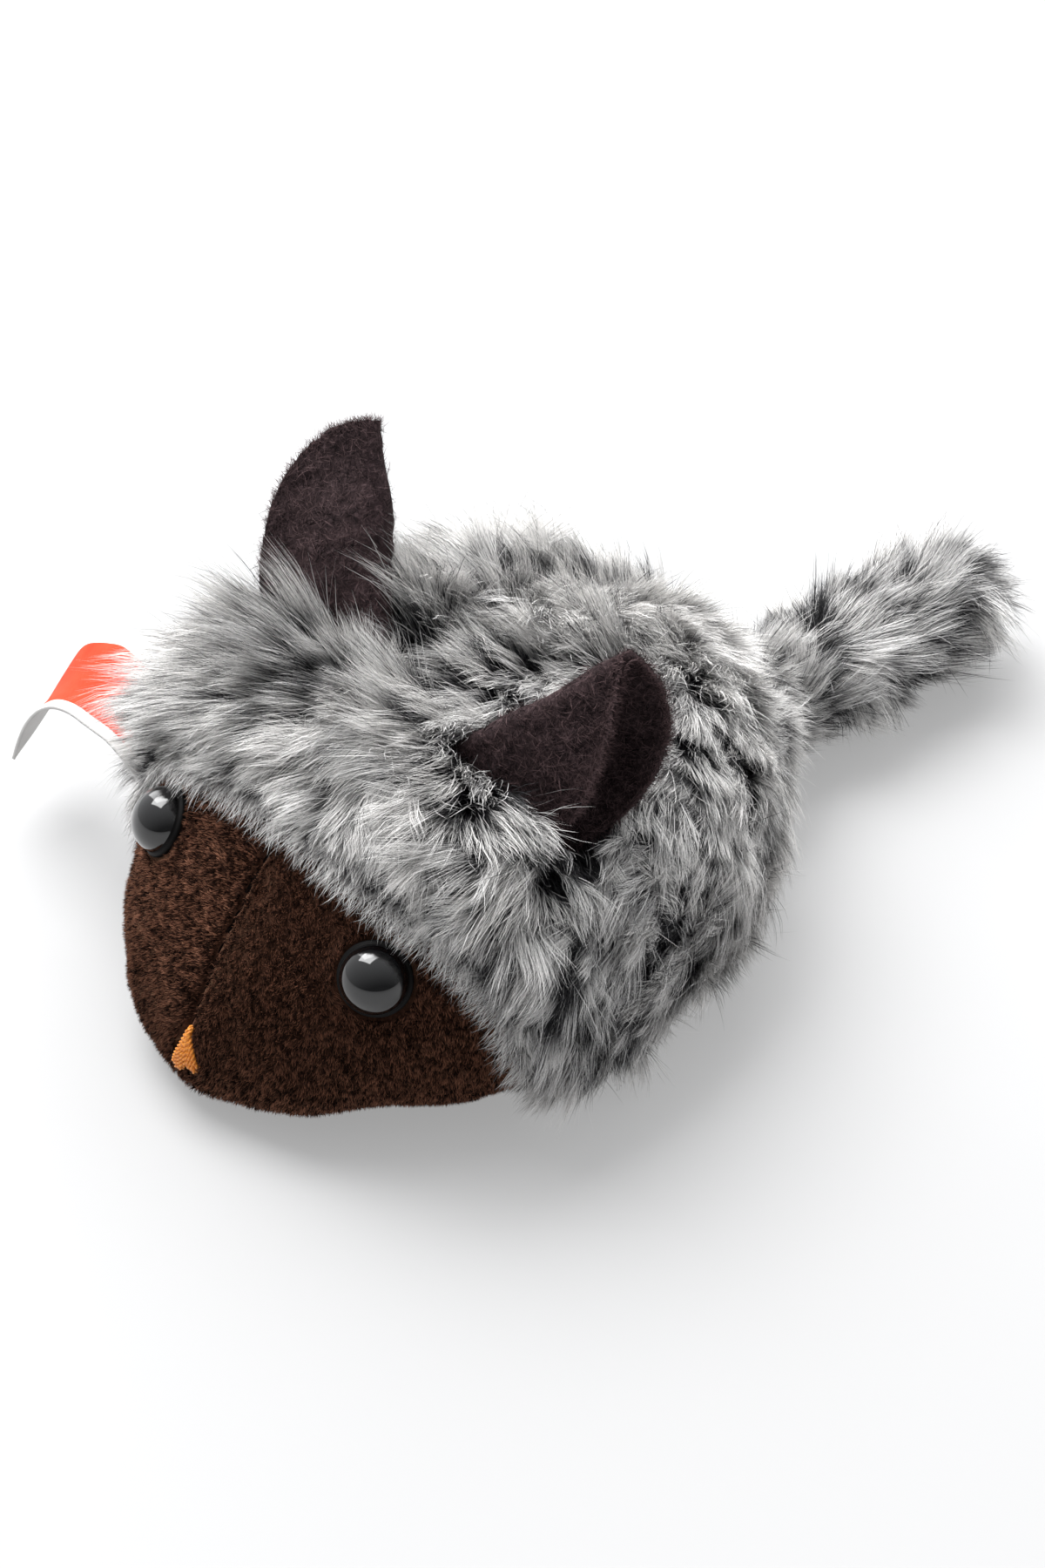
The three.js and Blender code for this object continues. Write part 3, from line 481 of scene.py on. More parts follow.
def cloth_back(name, a, b2, scale=900):
    m, nt, b = shader(name, rough=0.95, spec=0.1)
    v = mapping(nt)
    n = noise_tex(nt, v, scale, 3)
    nt.links.new(ramp(nt, [(0.3, a), (0.7, b2)], n), b.inputs["Base Color"])
    bump(nt, b, n, 0.6, 0.0003)
    return m


BACKING = cloth_back("fur_backing", (0.010, 0.010, 0.011), (0.035, 0.034, 0.036))


def suede_shader():
    m, nt, b = shader("suede_cloth", rough=0.92, spec=0.08, sheen=0.8, sheen_rough=0.40)
    b.inputs["Sheen Tint"].default_value = (0.80, 0.46, 0.28, 1)
    v = mapping(nt)
    grain = noise_tex(nt, v, 1500, 5, 0.7)
    patch = noise_tex(nt, v, 160, 4, 0.6, 0.6)
    big = noise_tex(nt, v, 45, 2, 0.5)
    col = ramp(nt, [(0.30, (0.009, 0.0034, 0.0022)), (0.5, (0.037, 0.0150, 0.0090)), (0.70, (0.100, 0.043, 0.026))], grain)
    col2 = mix(nt, col, (0.060, 0.0255, 0.0155), ramp(nt, [(0.4, (0, 0, 0)), (0.75, (0.6, 0.6, 0.6))], patch))
    col3 = mix(nt, col2, (0.020, 0.0080, 0.0050), ramp(nt, [(0.35, (0.4, 0.4, 0.4)), (0.6, (0, 0, 0))], big))
    nt.links.new(col3, b.inputs["Base Color"])
    h = math_node(nt, "ADD", math_node(nt, "MULTIPLY", grain, 0.8), math_node(nt, "MULTIPLY", patch, 0.25))
    bump(nt, b, h, 0.75, 0.0003)
    return m


SUEDE = suede_shader()
SEAM = cloth_back("seam_shadow", (0.0022, 0.0011, 0.0009), (0.008, 0.0036, 0.0026), 1500)


def felt_shader():
    m, nt, b = shader("wool_felt", rough=0.95, spec=0.06, sheen=0.10, sheen_rough=0.6)
    b.inputs["Sheen Tint"].default_value = (0.7, 0.5, 0.5, 1)
    v = mapping(nt)
    warp = mapping(nt, (1.0, 1.0, 3.2))
    f1 = noise_tex(nt, v, 1100, 6, 0.72, 1.4)
    f2 = noise_tex(nt, warp, 700, 5, 0.65, 2.2)
    blot = noise_tex(nt, v, 230, 3, 0.5, 0.4)
    col = ramp(nt, [(0.36, (0.004, 0.0024, 0.003)), (0.47, (0.017, 0.0105, 0.012)), (0.57, (0.066, 0.043, 0.046)), (0.68, (0.185, 0.125, 0.130))], f1)
    col = mix(nt, col, ramp(nt, [(0.38, (0.005, 0.003, 0.004)), (0.62, (0.070, 0.044, 0.048))], f2), 0.35)
    col = mix(nt, col, (0.008, 0.0045, 0.0055), ramp(nt, [(0.38, (0.6, 0.6, 0.6)), (0.58, (0, 0, 0))], blot))
    nt.links.new(col, b.inputs["Base Color"])
    h = math_node(nt, "ADD", f1, math_node(nt, "MULTIPLY", f2, 0.7))
    bump(nt, b, h, 1.0, 0.0005)
    return m


FELT = felt_shader()


def eye_shader():
    m, nt, b = shader("eye_black", rough=0.055, spec=0.5, coat=0.6)
    b.inputs["Coat Roughness"].default_value = 0.03
    b.inputs["IOR"].default_value = 1.5
    v = mapping(nt)
    n = noise_tex(nt, v, 500, 4, 0.6)
    nt.links.new(ramp(nt, [(0.3, (0.0022, 0.0022, 0.0026)), (0.8, (0.0045, 0.0045, 0.005))], n), b.inputs["Base Color"])
    nt.links.new(math_node(nt, "MULTIPLY_ADD", n, 0.05, 0.035), b.inputs["Roughness"])
    return m


EYE = eye_shader()


def eye_rim_shader():
    m, nt, b = shader("eye_rim", rough=0.55, spec=0.12)
    n = noise_tex(nt, mapping(nt), 900, 3, 0.6)
    nt.links.new(ramp(nt, [(0.3, (0.0015, 0.0014, 0.0014)), (0.8, (0.004, 0.0035, 0.0035))], n), b.inputs["Base Color"])
    return m


EYE_RIM = eye_rim_shader()


def thread_shader(name, a, c, rough=0.38, sheen=0.2):
    m, nt, b = shader(name, rough=rough, spec=0.45, sheen=sheen, sheen_rough=0.3)
    v = mapping(nt, (1.0, 1.0, 0.35))
    n = noise_tex(nt, v, 5200, 3, 0.6, 0.8)
    nt.links.new(ramp(nt, [(0.3, a), (0.7, c)], n), b.inputs["Base Color"])
    bump(nt, b, n, 0.5, 0.00006)
    return m


ORANGE = thread_shader("orange_thread", (0.62, 0.16, 0.012), (0.92, 0.36, 0.04))
KNOT = thread_shader("dark_thread", (0.05, 0.047, 0.045), (0.12, 0.115, 0.11), rough=0.7)


def ribbon_shader(name, a, c, rough=0.68):
    m, nt, b = shader(name, rough=rough, spec=0.06)
    v = mapping(nt)
    ribs = nt.nodes.new("ShaderNodeTexWave")
    ribs.wave_type = "BANDS"
    ribs.bands_direction = "DIAGONAL"
    ribs.inputs["Scale"].default_value = 620
    ribs.inputs["Distortion"].default_value = 1.2
    ribs.inputs["Detail"].default_value = 2
    nt.links.new(v, ribs.inputs["Vector"])
    n = noise_tex(nt, v, 260, 4, 0.6)
    nt.links.new(ramp(nt, [(0.3, a), (0.72, c)], n), b.inputs["Base Color"])
    h = math_node(nt, "ADD", math_node(nt, "MULTIPLY", ribs.outputs["Fac"], 0.5), math_node(nt, "MULTIPLY", n, 0.3))
    bump(nt, b, h, 0.35, 0.00008)
    return m


RIBBON_RED = ribbon_shader("ribbon_red", (0.54, 0.042, 0.017), (0.64, 0.062, 0.027))
RIBBON_WHITE = ribbon_shader("ribbon_white", (0.56, 0.55, 0.54), (0.64, 0.63, 0.62))


def fibre_shader(name, a, c, scale, dist=0.0006, rough=0.9):
    m, nt, b = shader(name, rough=rough, spec=0.15, sheen=0.2)
    v = mapping(nt)
    n = noise_tex(nt, v, scale, 7, 0.75, 2.5)
    nt.links.new(ramp(nt, [(0.3, a), (0.7, c)], n), b.inputs["Base Color"])
    bump(nt, b, n, 0.9, dist)
    return m


STUFFING = fibre_shader("fibre_fill", (0.62, 0.62, 0.60), (0.88, 0.88, 0.87), 420)
SACHET = fibre_shader("sachet_cloth", (0.60, 0.57, 0.50), (0.80, 0.77, 0.70), 1500, 0.0002)
HERB = fibre_shader("catnip_leaf", (0.045, 0.055, 0.018), (0.22, 0.24, 0.10), 900, 0.0008)
WASHER = fibre_shader("washer_plastic", (0.70, 0.70, 0.68), (0.80, 0.80, 0.78), 300, 0.00005, rough=0.45)

# ------------------------------------------------------------------ cloth panels
GAPY = 0.18


def panel_point(yA, yB, a, b, gap=0.35):
    y = -30 + 60 * a
    phi = np.zeros_like(a)
    for _ in range(12):
        g = gap / np.maximum(4, half_w(y))
        low = belly_angle(y) + g
        phi = low + (np.pi / 2 - low) * b
        y = (yA(phi) + GAPY) * (1 - a) + (yB(phi) - GAPY) * a
    return y, phi


lump = field(11, 11.0)
lump2 = field(12, 4.5)
pucker = field(13, 2.4)


def face_grid(side, nu, nv, o):
    HALF[0] = side
    EYE_P = EYES[side][0]
    a, b = np.meshgrid(np.linspace(0, 1, nu + 1), np.linspace(0, 1, nv + 1), indexing="ij")
    b = 1 - (1 - b) ** 1.6
    y, phi = panel_point(lambda p: np.full_like(p, NOSE_Y + 0.1), face_edge, a ** 1.35, b)
    p = skin(y, phi, o)
    x0 = p[..., 0].copy()
    q = p * np.array([side, 1, 1])
    # soft lumps of the filling, and small puckers where the stitches pull the centre seam
    d = 0.22 * lump(q) + 0.07 * lump2(q)
    s = np.sqrt((y + 40) ** 2 + (p[..., 2] - 6) ** 2)
    near = np.exp(-((x0 / 1.5) ** 2))
    d = d * (1 - near) - near * (0.22 + 0.13 * np.cos(2 * np.pi * s / 2.3 + (0.7 if side > 0 else 0)))
    d += -0.16 * np.exp(-((x0 / 4.0) ** 2)) * (0.5 + 0.5 * pucker(q))
    d += -0.55 * np.exp(-((x0 / 0.42) ** 2))
    edge = smooth(a, 0.93, 1.0)
    d -= 0.25 * edge
    rise = smooth(p[..., 2], 0.5, 8.0)
    n = frame_at(y, phi)[3]
    r = np.sqrt((x0 - EYE_P[0]) ** 2 + (p[..., 1] - EYE_P[1]) ** 2 + (p[..., 2] - EYE_P[2]) ** 2)
    d = d * smooth(r, 5.0, 8.0) + 0.62 * np.exp(-(((r - 5.2) / 0.85) ** 2)) - 0.25 * (1 - smooth(r, 3.6, 4.4))
    p = p + n * (d * rise)[..., None]
    p[..., 0] = np.maximum(p[..., 0], 0.05)
    p[..., 2] = np.maximum(p[..., 2], 0.02)
    p[..., 0] *= side
    return p, (n * np.array([side, 1, 1]))


NU, NV = ((120, 100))
SIDES = {"left": 1, "right": -1}
for word, side in SIDES.items():
    outer, _ = face_grid(side, NU, NV, 0.0)
    inner, _ = face_grid(side, NU, NV, -0.9)
    face = slab(f"face_{word}", outer, inner, [SUEDE, SEAM], cell_mat=lambda i, j, nu, nv: (j >= nv - 2 - (np.sin(0.31 * i) > 0.55)) & (i > nu // 40) & (np.sin(0.9 * i) + np.sin(0.37 * i + 1) > -0.9))
    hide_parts(f"face_panel_{word}")


def belly_grid(nu, nv, o):
    a, b = np.meshgrid(np.linspace(0, 1, nu + 1), np.linspace(0, 1, nv + 1), indexing="ij")
    y = (BELLY_A + 0.5) + (BELLY_B - BELLY_A - 1.0) * (0.5 - 0.5 * np.cos(np.pi * a))
    h = belly_angle(y) + np.pi / 2 - 0.35 / np.maximum(4, half_w(y))
    p = skin(y, -np.pi / 2 + np.maximum(0.02, h) * (2 * b - 1), o)
    if o == 0:   # shallow wrinkles where the cloth is gathered into the seam
        e = smooth(np.abs(2 * b - 1), 0.55, 1.0) + smooth(np.abs(2 * a - 1), 0.8, 1.0)
        p[..., 2] += 0.22 * e * (0.5 + 0.5 * pucker(p))
    else:
        p[..., 2] += 0.25
    return p


belly = slab("belly", belly_grid(110, 56, 0.0), belly_grid(110, 56, -0.9), [SUEDE])
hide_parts("belly_panel")


# ------------------------------------------------------------------ ears
EARS = {
    "ear_left": dict(o=(14.65, -6.85, 44.65), e=(29.22, -3.8, 36.51), tip=(27.64, 2.7, 57.23),
                     front=(13.9, 7, 0.55, 1.07, 0.75), rear=(17.3, 12.2, 2.3, 1.79, 0.68)),
    "ear_right": dict(o=(-6.1, -3.25, 48.51), e=(-23.43, -5.65, 42.22), tip=(-18.09, 6.11, 64.87),
                      front=(16.7, 10.3, 0.6, 1.76, 0.5), rear=(16.4, 11, 0.9, 1.8, 0.52)),
}
EAR_SUNK = 5.0


def ear_frame(k):
    c = EARS[k]
    O, E, T = (np.array(c[i], float) for i in ("o", "e", "tip"))
    f, u = unit(T - O), unit(E - O)
    n = unit(np.cross(u, f))
    if n[1] > 0:
        n = -n
    return f, u, n, O - f * EAR_SUNK, np.linalg.norm(T - O)


def flap(k, s):
    """Width, opening, bow and the two exponents of the outline, for each point's own flap."""
    return [np.where(s < 0, r, f) for f, r in zip(EARS[k]["front"], EARS[k]["rear"])]


def ear_mid(k, a, b, foot=1.0):
    f, u, n, O, H = ear_frame(k)
    rho = 1.0
    s, t = np.sign(2 * a - 1), np.abs(2 * a - 1)
    w, op, bow, p, e = flap(k, s)
    arc = math.pi * rho / 2
    q = t * (w + arc - rho)
    top = EAR_SUNK + H * np.maximum(0, 1 - np.minimum(1, t) ** p) ** e
    v = -foot + b * (top + foot)
    al = np.radians(2 + (op - 2) * smooth(v, -1, 8))
    d = q - arc
    x = np.where(q < arc, rho - rho * np.cos(q / rho), rho + d * np.cos(al))
    y = np.where(q < arc, rho * np.sin(q / rho), rho + d * np.sin(al))
    y = s * (y + bow * np.sin(np.pi * t) * smooth(v, 0, 10))
    return O + u * x[..., None] + n * y[..., None] + f * v[..., None], t, v


def in_ear(k, p, spare=0.7):
    """In the felt of an ear, or between its flaps: true for points (.., 3)."""
    f, u, n, O, H = ear_frame(k)
    d = p - O
    y = d @ n
    uf = u @ f
    du, df = d @ u, d @ f
    x = (du - uf * df) / (1 - uf * uf)
    v = (df - uf * du) / (1 - uf * uf)
    w, op, bow, e1, e2 = flap(k, y)
    t = np.clip(x / w, 0, 1)
    al = np.radians(2 + (op - 2) * smooth(v, -1, 8))
    half = 1.0 + np.maximum(0, x - 1) * np.sin(al) + bow * np.sin(np.pi * t) * smooth(v, 0, 10) + spare
    top = EAR_SUNK + H * (1 - t ** e1) ** e2
    return (x > -spare) & (x < w + spare) & (np.abs(y) < half) & (v > -1) & (v < top + spare), v


def ear_piece(k, nu, nv):
    a, b = np.meshgrid(np.linspace(0, 1, nu + 1), np.linspace(0, 1, nv + 1), indexing="ij")
    p, rim, v = ear_mid(k, a, b)
    e = 1e-3
    da = ear_mid(k, np.minimum(1, a + e), b)[0] - ear_mid(k, np.maximum(0, a - e), b)[0]
    db = ear_mid(k, a, np.minimum(1, b + e))[0] - ear_mid(k, a, np.maximum(0, b - e))[0]
    n = unit(np.cross(da, db))
    wav = field(31 if k == "ear_left" else 32, 16.0)
    fine = field(33, 2.2)
    p = p + n * (0.25 * wav(p) * smooth(v, 2, 12))[..., None]
    # the cut edge is never a clean line
    ef = smooth(b, 0.9, 1.0)
    p = p + unit(db) * (0.10 * fine(p * 1.7) * ef)[..., None]
    t = 0.6 * (1 - 0.12 * smooth(b, 0.96, 1.0)) + 0.05 * fine(p)
    return p + n * t[..., None], p - n * t[..., None], n, b, v


ear_data = {}
for k in EARS:
    top_s, bot_s, n_s, b_s, v_s = ear_piece(k, 110, 44)
    ob = slab(k.replace("_", "-") + "_felt", top_s, bot_s, [FELT], body=k + "_body")
    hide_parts(k)
    ear_data[k] = (top_s, bot_s, n_s, b_s, v_s)


def felt_fuzz(k, count, seed):
    """Loose wool fibres that lie on both faces of the felt and stand off its cut edge."""
    r = np.random.default_rng(seed)
    top_s, bot_s, n_s, b_s, v_s = ear_data[k]
    nu, nv = top_s.shape[0] - 1, top_s.shape[1] - 1
    edge = r.random(count) < 0.22
    side = np.where(r.random(count) < 0.5, 1.0, -1.0)
    ai, bi = r.random(count) * (nu - 1), np.where(edge, nv * (1 - 0.05 * r.random(count) ** 2), nv * r.random(count) ** 0.8)
    i, j = ai.astype(int), np.clip(bi.astype(int), 0, nv - 1)
    fa, fb = (ai - i)[:, None], np.clip(bi - j, 0, 1)[:, None]
    S = np.where(side[:, None, None, None] > 0, 1, 0)

    def at(G, di, dj):
        return G[np.clip(i + di, 0, nu), np.clip(j + dj, 0, nv)]

    def lerp2(G):
        return (at(G, 0, 0) * (1 - fa) * (1 - fb) + at(G, 1, 0) * fa * (1 - fb) + at(G, 0, 1) * (1 - fa) * fb + at(G, 1, 1) * fa * fb)

    p = np.where(side[:, None] > 0, lerp2(top_s), lerp2(bot_s))
    n = unit(lerp2(n_s)) * side[:, None]
    keep = lerp2(v_s[..., None])[:, 0] > 1.0
    t1 = unit(at(top_s, 1, 0) - at(top_s, 0, 0) + 1e-6)
    t2 = np.cross(n, t1)
    outw = unit(at(top_s, 0, 1) - at(top_s, 0, 0) + 1e-6)
    ang = r.uniform(0, 2 * np.pi, count)
    d = np.cos(ang)[:, None] * t1 + np.sin(ang)[:, None] * t2
    L = np.where(edge, r.uniform(0.5, 1.3, count), r.uniform(0.9, 2.4, count))
    lift0 = np.where(edge, 0.4, r.uniform(0.15, 0.5, count))[:, None]
    d0 = unit(d + n * lift0 + np.where(edge[:, None], outw * 1.6, 0))
    d1 = unit(d + n * r.uniform(-0.25, 0.12, count)[:, None] + np.where(edge[:, None], outw * 0.8, 0) + 0.7 * r.normal(size=(count, 3)) * 0.6)
    K = 4
    t = np.linspace(0, 1, K)[None, :, None]
    C = (p + n * 0.02)[:, None, :] + L[:, None, None] * (d0[:, None] * (t - t * t / 2) + d1[:, None] * (t * t / 2))
    spot = np.tanh(1.4 * field(36, 2.4)(p))
    tone = np.where(edge, r.uniform(0.55, 1.0, count), np.clip(r.normal(0.42, 0.2, count) + 0.30 * spot, 0, 0.98))
    C, tone, L = C[keep], tone[keep], L[keep]
    return ribbons(k.replace("_", "-") + "_fuzz", C, r.uniform(0.035, 0.07, len(C)), tone, [FELT_FUZZ], body=k + "_body", seed=seed, face=n[keep])


for n_, k in enumerate(EARS):
    fz = felt_fuzz(k, 15000, 40 + n_)


# ------------------------------------------------------------------ eyes
def eye_piece(side):
    pr = [(0.0, -7.6), (1.05, -7.6), (1.4, -6.7)]
    y = -6.7
    while y < -2:
        pr += [(1.5, y + 0.7), (1.25, y + 0.9), (1.25, y + 1.8)]
        y += 2
    pr += [(1.28, 0.0), (3.95, 0.0), (4.2, 0.06), (4.38, 0.22), (4.45, 0.5), (4.40, 0.72), (4.28, 0.84), (4.10, 0.90), (4.03, 1.0)]
    for k in range(1, 29):
        an = math.radians(3 + 87 * k / 28)
        pr.append((4.0 * math.cos(an) if k < 28 else 0.0, 0.85 + 3.55 * math.sin(an)))
    seg = 72
    pr = np.array(pr)[1:-1]
    EYE_P, EYE_N = EYES[side]
    base = EYE_P + EYE_N * 0.45
    ax = unit(np.cross(EYE_N, [0, 0, 1.0]))
    ay = np.cross(ax, EYE_N)
    th = np.linspace(0, 2 * np.pi, seg, endpoint=False)
    ring = base + pr[:, 0][:, None, None] * (np.cos(th)[None, :, None] * ax + np.sin(th)[None, :, None] * ay) + pr[:, 1][:, None, None] * EYE_N
    ring = ring * np.array([side, 1, 1])
    return ring, pr


for word, side in SIDES.items():
    ring, pr = eye_piece(side)
    ob = rings_mesh(f"eye_{word}_dome", ring, [EYE, EYE_RIM])
    dull = np.zeros(len(ob.data.polygons), np.int32)
    dull[:(len(pr) - 1) * 72] = np.repeat((pr[:-1, 1] < 0.95) | (pr[:-1, 0] > 4.02), 72)
    ob.data.polygons.foreach_set("material_index", dull)
    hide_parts(f"eye_{word}")


# ------------------------------------------------------------------ nose
def front_y(x, z):
    lo, hi = np.full(np.shape(x), NOSE_Y), np.full(np.shape(x), -30.0)
    for _ in range(40):
        m = (lo + hi) / 2
        w, zm = half_w(m), mid_z(m)
        h = np.where(z > zm, top_z(m) - zm, zm - bot_z(m))
        inside = (np.abs(x) / w) ** 2.1 + (np.abs(z - zm) / np.maximum(h, 0.01)) ** 2.1 < 1
        hi, lo = np.where(inside, m, hi), np.where(inside, lo, m)
    return hi


def nose():
    """Eight twisted two-ply threads laid side by side, from one point down to the lip."""
    r = np.random.default_rng(5)
    V, F, off = [], [], 0
    N, K, M = 8, 46, 8
    for i in range(N):
        t = i / (N - 1) * 2 - 1
        s = np.linspace(0, 1, K)
        z_top = 11.9 - 0.35 * abs(t) + r.uniform(-0.25, 0.1)
        z_bot = 6.3 + 0.75 * t + r.uniform(-0.45, 0.45)
        z = z_top + (z_bot - z_top) * s
        x = 0.85 + 0.10 * t + (1.95 * t - 0.15 + r.uniform(-0.12, 0.12)) * s + 0.06 * np.sin(5 * s + 1.7 * i)
        y = front_y(x, z) - 0.34 - 0.16 * np.sin(np.pi * np.clip(s * 1.02, 0, 1)) ** 0.5 * (1 - 0.4 * t * t)
        y = y + 0.50 * (1 - smooth(s, 0.0, 0.07)) + 0.40 * smooth(s, 0.95, 1.0)
        c = np.stack([x, y, z], -1)
        T = unit(np.gradient(c, axis=0))
        A = unit(np.cross(T, [0, 1.0, 0]))
        B = np.cross(T, A)
        L = np.concatenate([[0], np.cumsum(np.linalg.norm(np.diff(c, axis=0), axis=1))])
        for ply in range(2):
            ph = 2 * np.pi * L / 1.25 + ply * np.pi + i * 1.3
            cc = c + 0.15 * (np.cos(ph)[:, None] * A + np.sin(ph)[:, None] * B)
            th = np.linspace(0, 2 * np.pi, M, endpoint=False)
            ring = cc[:, None] + 0.19 * (np.cos(th)[None, :, None] * A[:, None] + np.sin(th)[None, :, None] * B[:, None])
            V.append(ring.reshape(-1, 3))
            for a in range(K - 1):
                for b in range(M):
                    d = (b + 1) % M
                    F.append((off + a * M + b, off + a * M + d, off + (a + 1) * M + d, off + (a + 1) * M + b))
            F.append(tuple(off + b for b in range(M - 1, -1, -1)))
            F.append(tuple(off + (K - 1) * M + b for b in range(M)))
            off += K * M
    loops = np.array([v for f in F for v in f])
    totals = np.array([len(f) for f in F])
    starts = np.concatenate([[0], np.cumsum(totals)[:-1]])
    ob = make_mesh("nose_threads", np.concatenate(V), loops, starts, totals, mats=[ORANGE])
    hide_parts("nose_stitching")


nose()

# ------------------------------------------------------------------ side label
LABEL_ROOT, LABEL_ACROSS, LABEL_W = np.array([-30.6, -21.8, 20.2]), unit(np.array([-4.6, 13, 2.4])), 13.8
RUN = np.array([[2.6, -1.4], [0, 0], [-3, 1.7], [-6.5, 2.7], [-11, 2.7], [-15.2, 1.6], [-19, -0.6], [-22, -4], [-24, -7.8], [-25.4, -11.2]])


def label():
    L = np.concatenate([[0], np.cumsum(np.linalg.norm(np.diff(RUN, axis=0), axis=1))])
    fx, fz = pchip(L, RUN[:, 0]), pchip(L, RUN[:, 1])
    nu, nv = 90, 44
    a, b = np.meshgrid(np.linspace(0, 1, nu + 1), np.linspace(0, 1, nv + 1), indexing="ij")
    rip = field(61, 14.0)

    def mid(a, b):
        s = a * L[-1]
        p = LABEL_ROOT + np.stack([fx(s), 0 * s, fz(s)], -1) + LABEL_ACROSS * (b * LABEL_W)[..., None]
        p[..., 2] += 1.2 * a * a * b + 0.30 * rip(p) * smooth(a, 0.15, 0.5)
        return p
    e = 1e-3
    p = mid(a, b)
    n = unit(np.cross(mid(np.minimum(1, a + e), b) - mid(np.maximum(0, a - e), b), mid(a, np.minimum(1, b + e)) - mid(a, np.maximum(0, b - e))))
    th = 0.16 + 0.05 * smooth(np.abs(2 * b - 1), 0.93, 0.97)
    border = 1.45 / LABEL_W
    ob = slab("label_ribbon", p + n * th[..., None], p - n * th[..., None], [RIBBON_RED, RIBBON_WHITE], body="label_body",
              cell_mat=lambda i, j, nu, nv: ((j + 0.5) / nv < border) | ((j + 0.5) / nv > 1 - border) | ((i + 0.5) / nu > 0.965))
    # the underside of the ribbon is plain white
    me = ob.data
    nq = nu * nv
    idx = np.zeros(len(me.polygons), np.int32)
    me.polygons.foreach_get("material_index", idx)
    cen = np.zeros(len(me.polygons) * 3, np.float32)
    nor = np.zeros(len(me.polygons) * 3, np.float32)
    me.polygons.foreach_get("center", cen)
    me.polygons.foreach_get("normal", nor)
    mean = n.reshape(-1, 3).mean(0)
    sgn = 1 if mean[2] > 0 else -1
    first = nor.reshape(-1, 3)[:nq]
    lower = slice(nq, 2 * nq) if (first[:, 2].mean() > 0) else slice(0, nq)
    idx[lower] = 1
    me.polygons.foreach_set("material_index", idx)
    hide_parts("side_label")


label()

# ------------------------------------------------------------------ fur backing
def sunk(y, phi=None):
    """How far the back's cloth lies under the outer face of its frame solid, which takes in the low pile."""
    part = 1.0 if phi is None else 0.0 if HALF[0] < 0 else smooth(80 - np.degrees(phi), 0, 32)
    return -1.5 * smooth(y, -2, 16) * (1 - smooth(y, 40, 49)) * part


PANELS = {
    "head_fur_left": (1, face_edge, lambda p: np.full_like(p, CREASE_Y), 40, 70),
    "head_fur_right": (-1, face_edge, lambda p: np.full_like(p, CREASE_Y), 40, 70),
    "back_fur_left": (1, lambda p: np.full_like(p, CREASE_Y), lambda p: np.full_like(p, REAR_Y), 80, 70),
    "back_fur_right": (-1, lambda p: np.full_like(p, CREASE_Y), lambda p: np.full_like(p, REAR_Y), 80, 70),
}
for name, (side, yA, yB, nu, nv) in PANELS.items():
    HALF[0] = side
    a, b = np.meshgrid(np.linspace(0, 1, nu + 1), np.linspace(0, 1, nv + 1), indexing="ij")
    y, phi = panel_point(yA, yB, a, b)
    n = frame_at(y, phi)[3]
    hi = skin(y, phi, 0.35 + sunk(y, phi)) + n * (0.25 * lump2(skin(y, phi)))[..., None] * smooth(skin(y, phi)[..., 2], 1, 4)[..., None]
    lo = skin(y, phi, -0.9 + sunk(y, phi))
    for g in (hi, lo):
        g[..., 0] = np.maximum(g[..., 0], 0.1)
    hi[..., 2], lo[..., 2] = np.maximum(hi[..., 2], 0.3), np.maximum(lo[..., 2], 0.85)
    s = np.array([side, 1, 1])
    ob = slab(name.replace("_fur_", "_") + "_cloth", hi * s, lo * s, [BACKING])
    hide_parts(name)

# ------------------------------------------------------------------ fur
turn_big, turn_mid, turn_small = field(71, 34.0), field(72, 12.0), field(73, 5.0)
lift_f, len_f = field(74, 7.5), field(75, 6.0)
tone_a, tone_b, tone_c = field(76, 14.0), field(77, 5.0), field(78, 2.6)
DOWN = np.array([0, 0, -1.0])


def rotate_about(v, axis, ang):
    c, s = np.cos(ang)[..., None], np.sin(ang)[..., None]
    return v * c + np.cross(axis, v) * s + axis * np.sum(axis * v, -1, keepdims=True) * (1 - c)


def sample_panel(side, yA, yB, count, r):
    """Points spread evenly by area over a panel: y and angle on the left side."""
    HALF[0] = side
    ys, ps = [], []
    got = 0
    while got < count:
        n = int(count * 2.5) + 500
        y = r.uniform(-30, REAR_Y, n)
        phi = r.uniform(-np.pi / 2, np.pi / 2, n)
        ok = (phi > belly_angle(y) + 0.01) & (y > yA(phi) + 0.2) & (y < yB(phi) - 0.1)
        y, phi = y[ok], phi[ok]
        e = 0.05
        A = np.cross((skin(y + e, phi) - skin(y - e, phi)) / (2 * e), (skin(y, phi + 0.004) - skin(y, phi - 0.004)) / 0.008)
        w = np.linalg.norm(A, axis=-1)
        keep = r.random(len(y)) * 46.0 < w
        ys.append(y[keep])
        ps.append(phi[keep])
        got += keep.sum()
    return np.concatenate(ys)[:count], np.concatenate(ps)[:count]


def ear_near(p):
    """How close a point is to the foot of an ear, on its nose side, on its tail side, and where the
    pile hides the foot (0 to 1)."""
    fore, aft, foot = np.zeros(len(p)), np.zeros(len(p)), np.zeros(len(p))
    for k in EARS:
        f, u, n, O, H = ear_frame(k)
        W = max(EARS[k]["front"][0], EARS[k]["rear"][0])
        d = p - O
        x, y = d @ u, d @ n
        along = smooth(x, *((-5, 1) if k == "ear_left" else (-14, -6))) * (1 - smooth(x, W - 2, W + 5))
        near = np.exp(-(((np.abs(y) - 1.0) / 5.5) ** 2)) * along
        fore = np.maximum(fore, np.where(y > 0, near, 0))
        aft = np.maximum(aft, np.where(y <= 0, near, 0))
        foot = np.maximum(foot, near * (1 - (0.45 if k == "ear_left" else 0.8) * smooth(x, 0.3 * W, 0.75 * W)))
    return fore, aft, foot


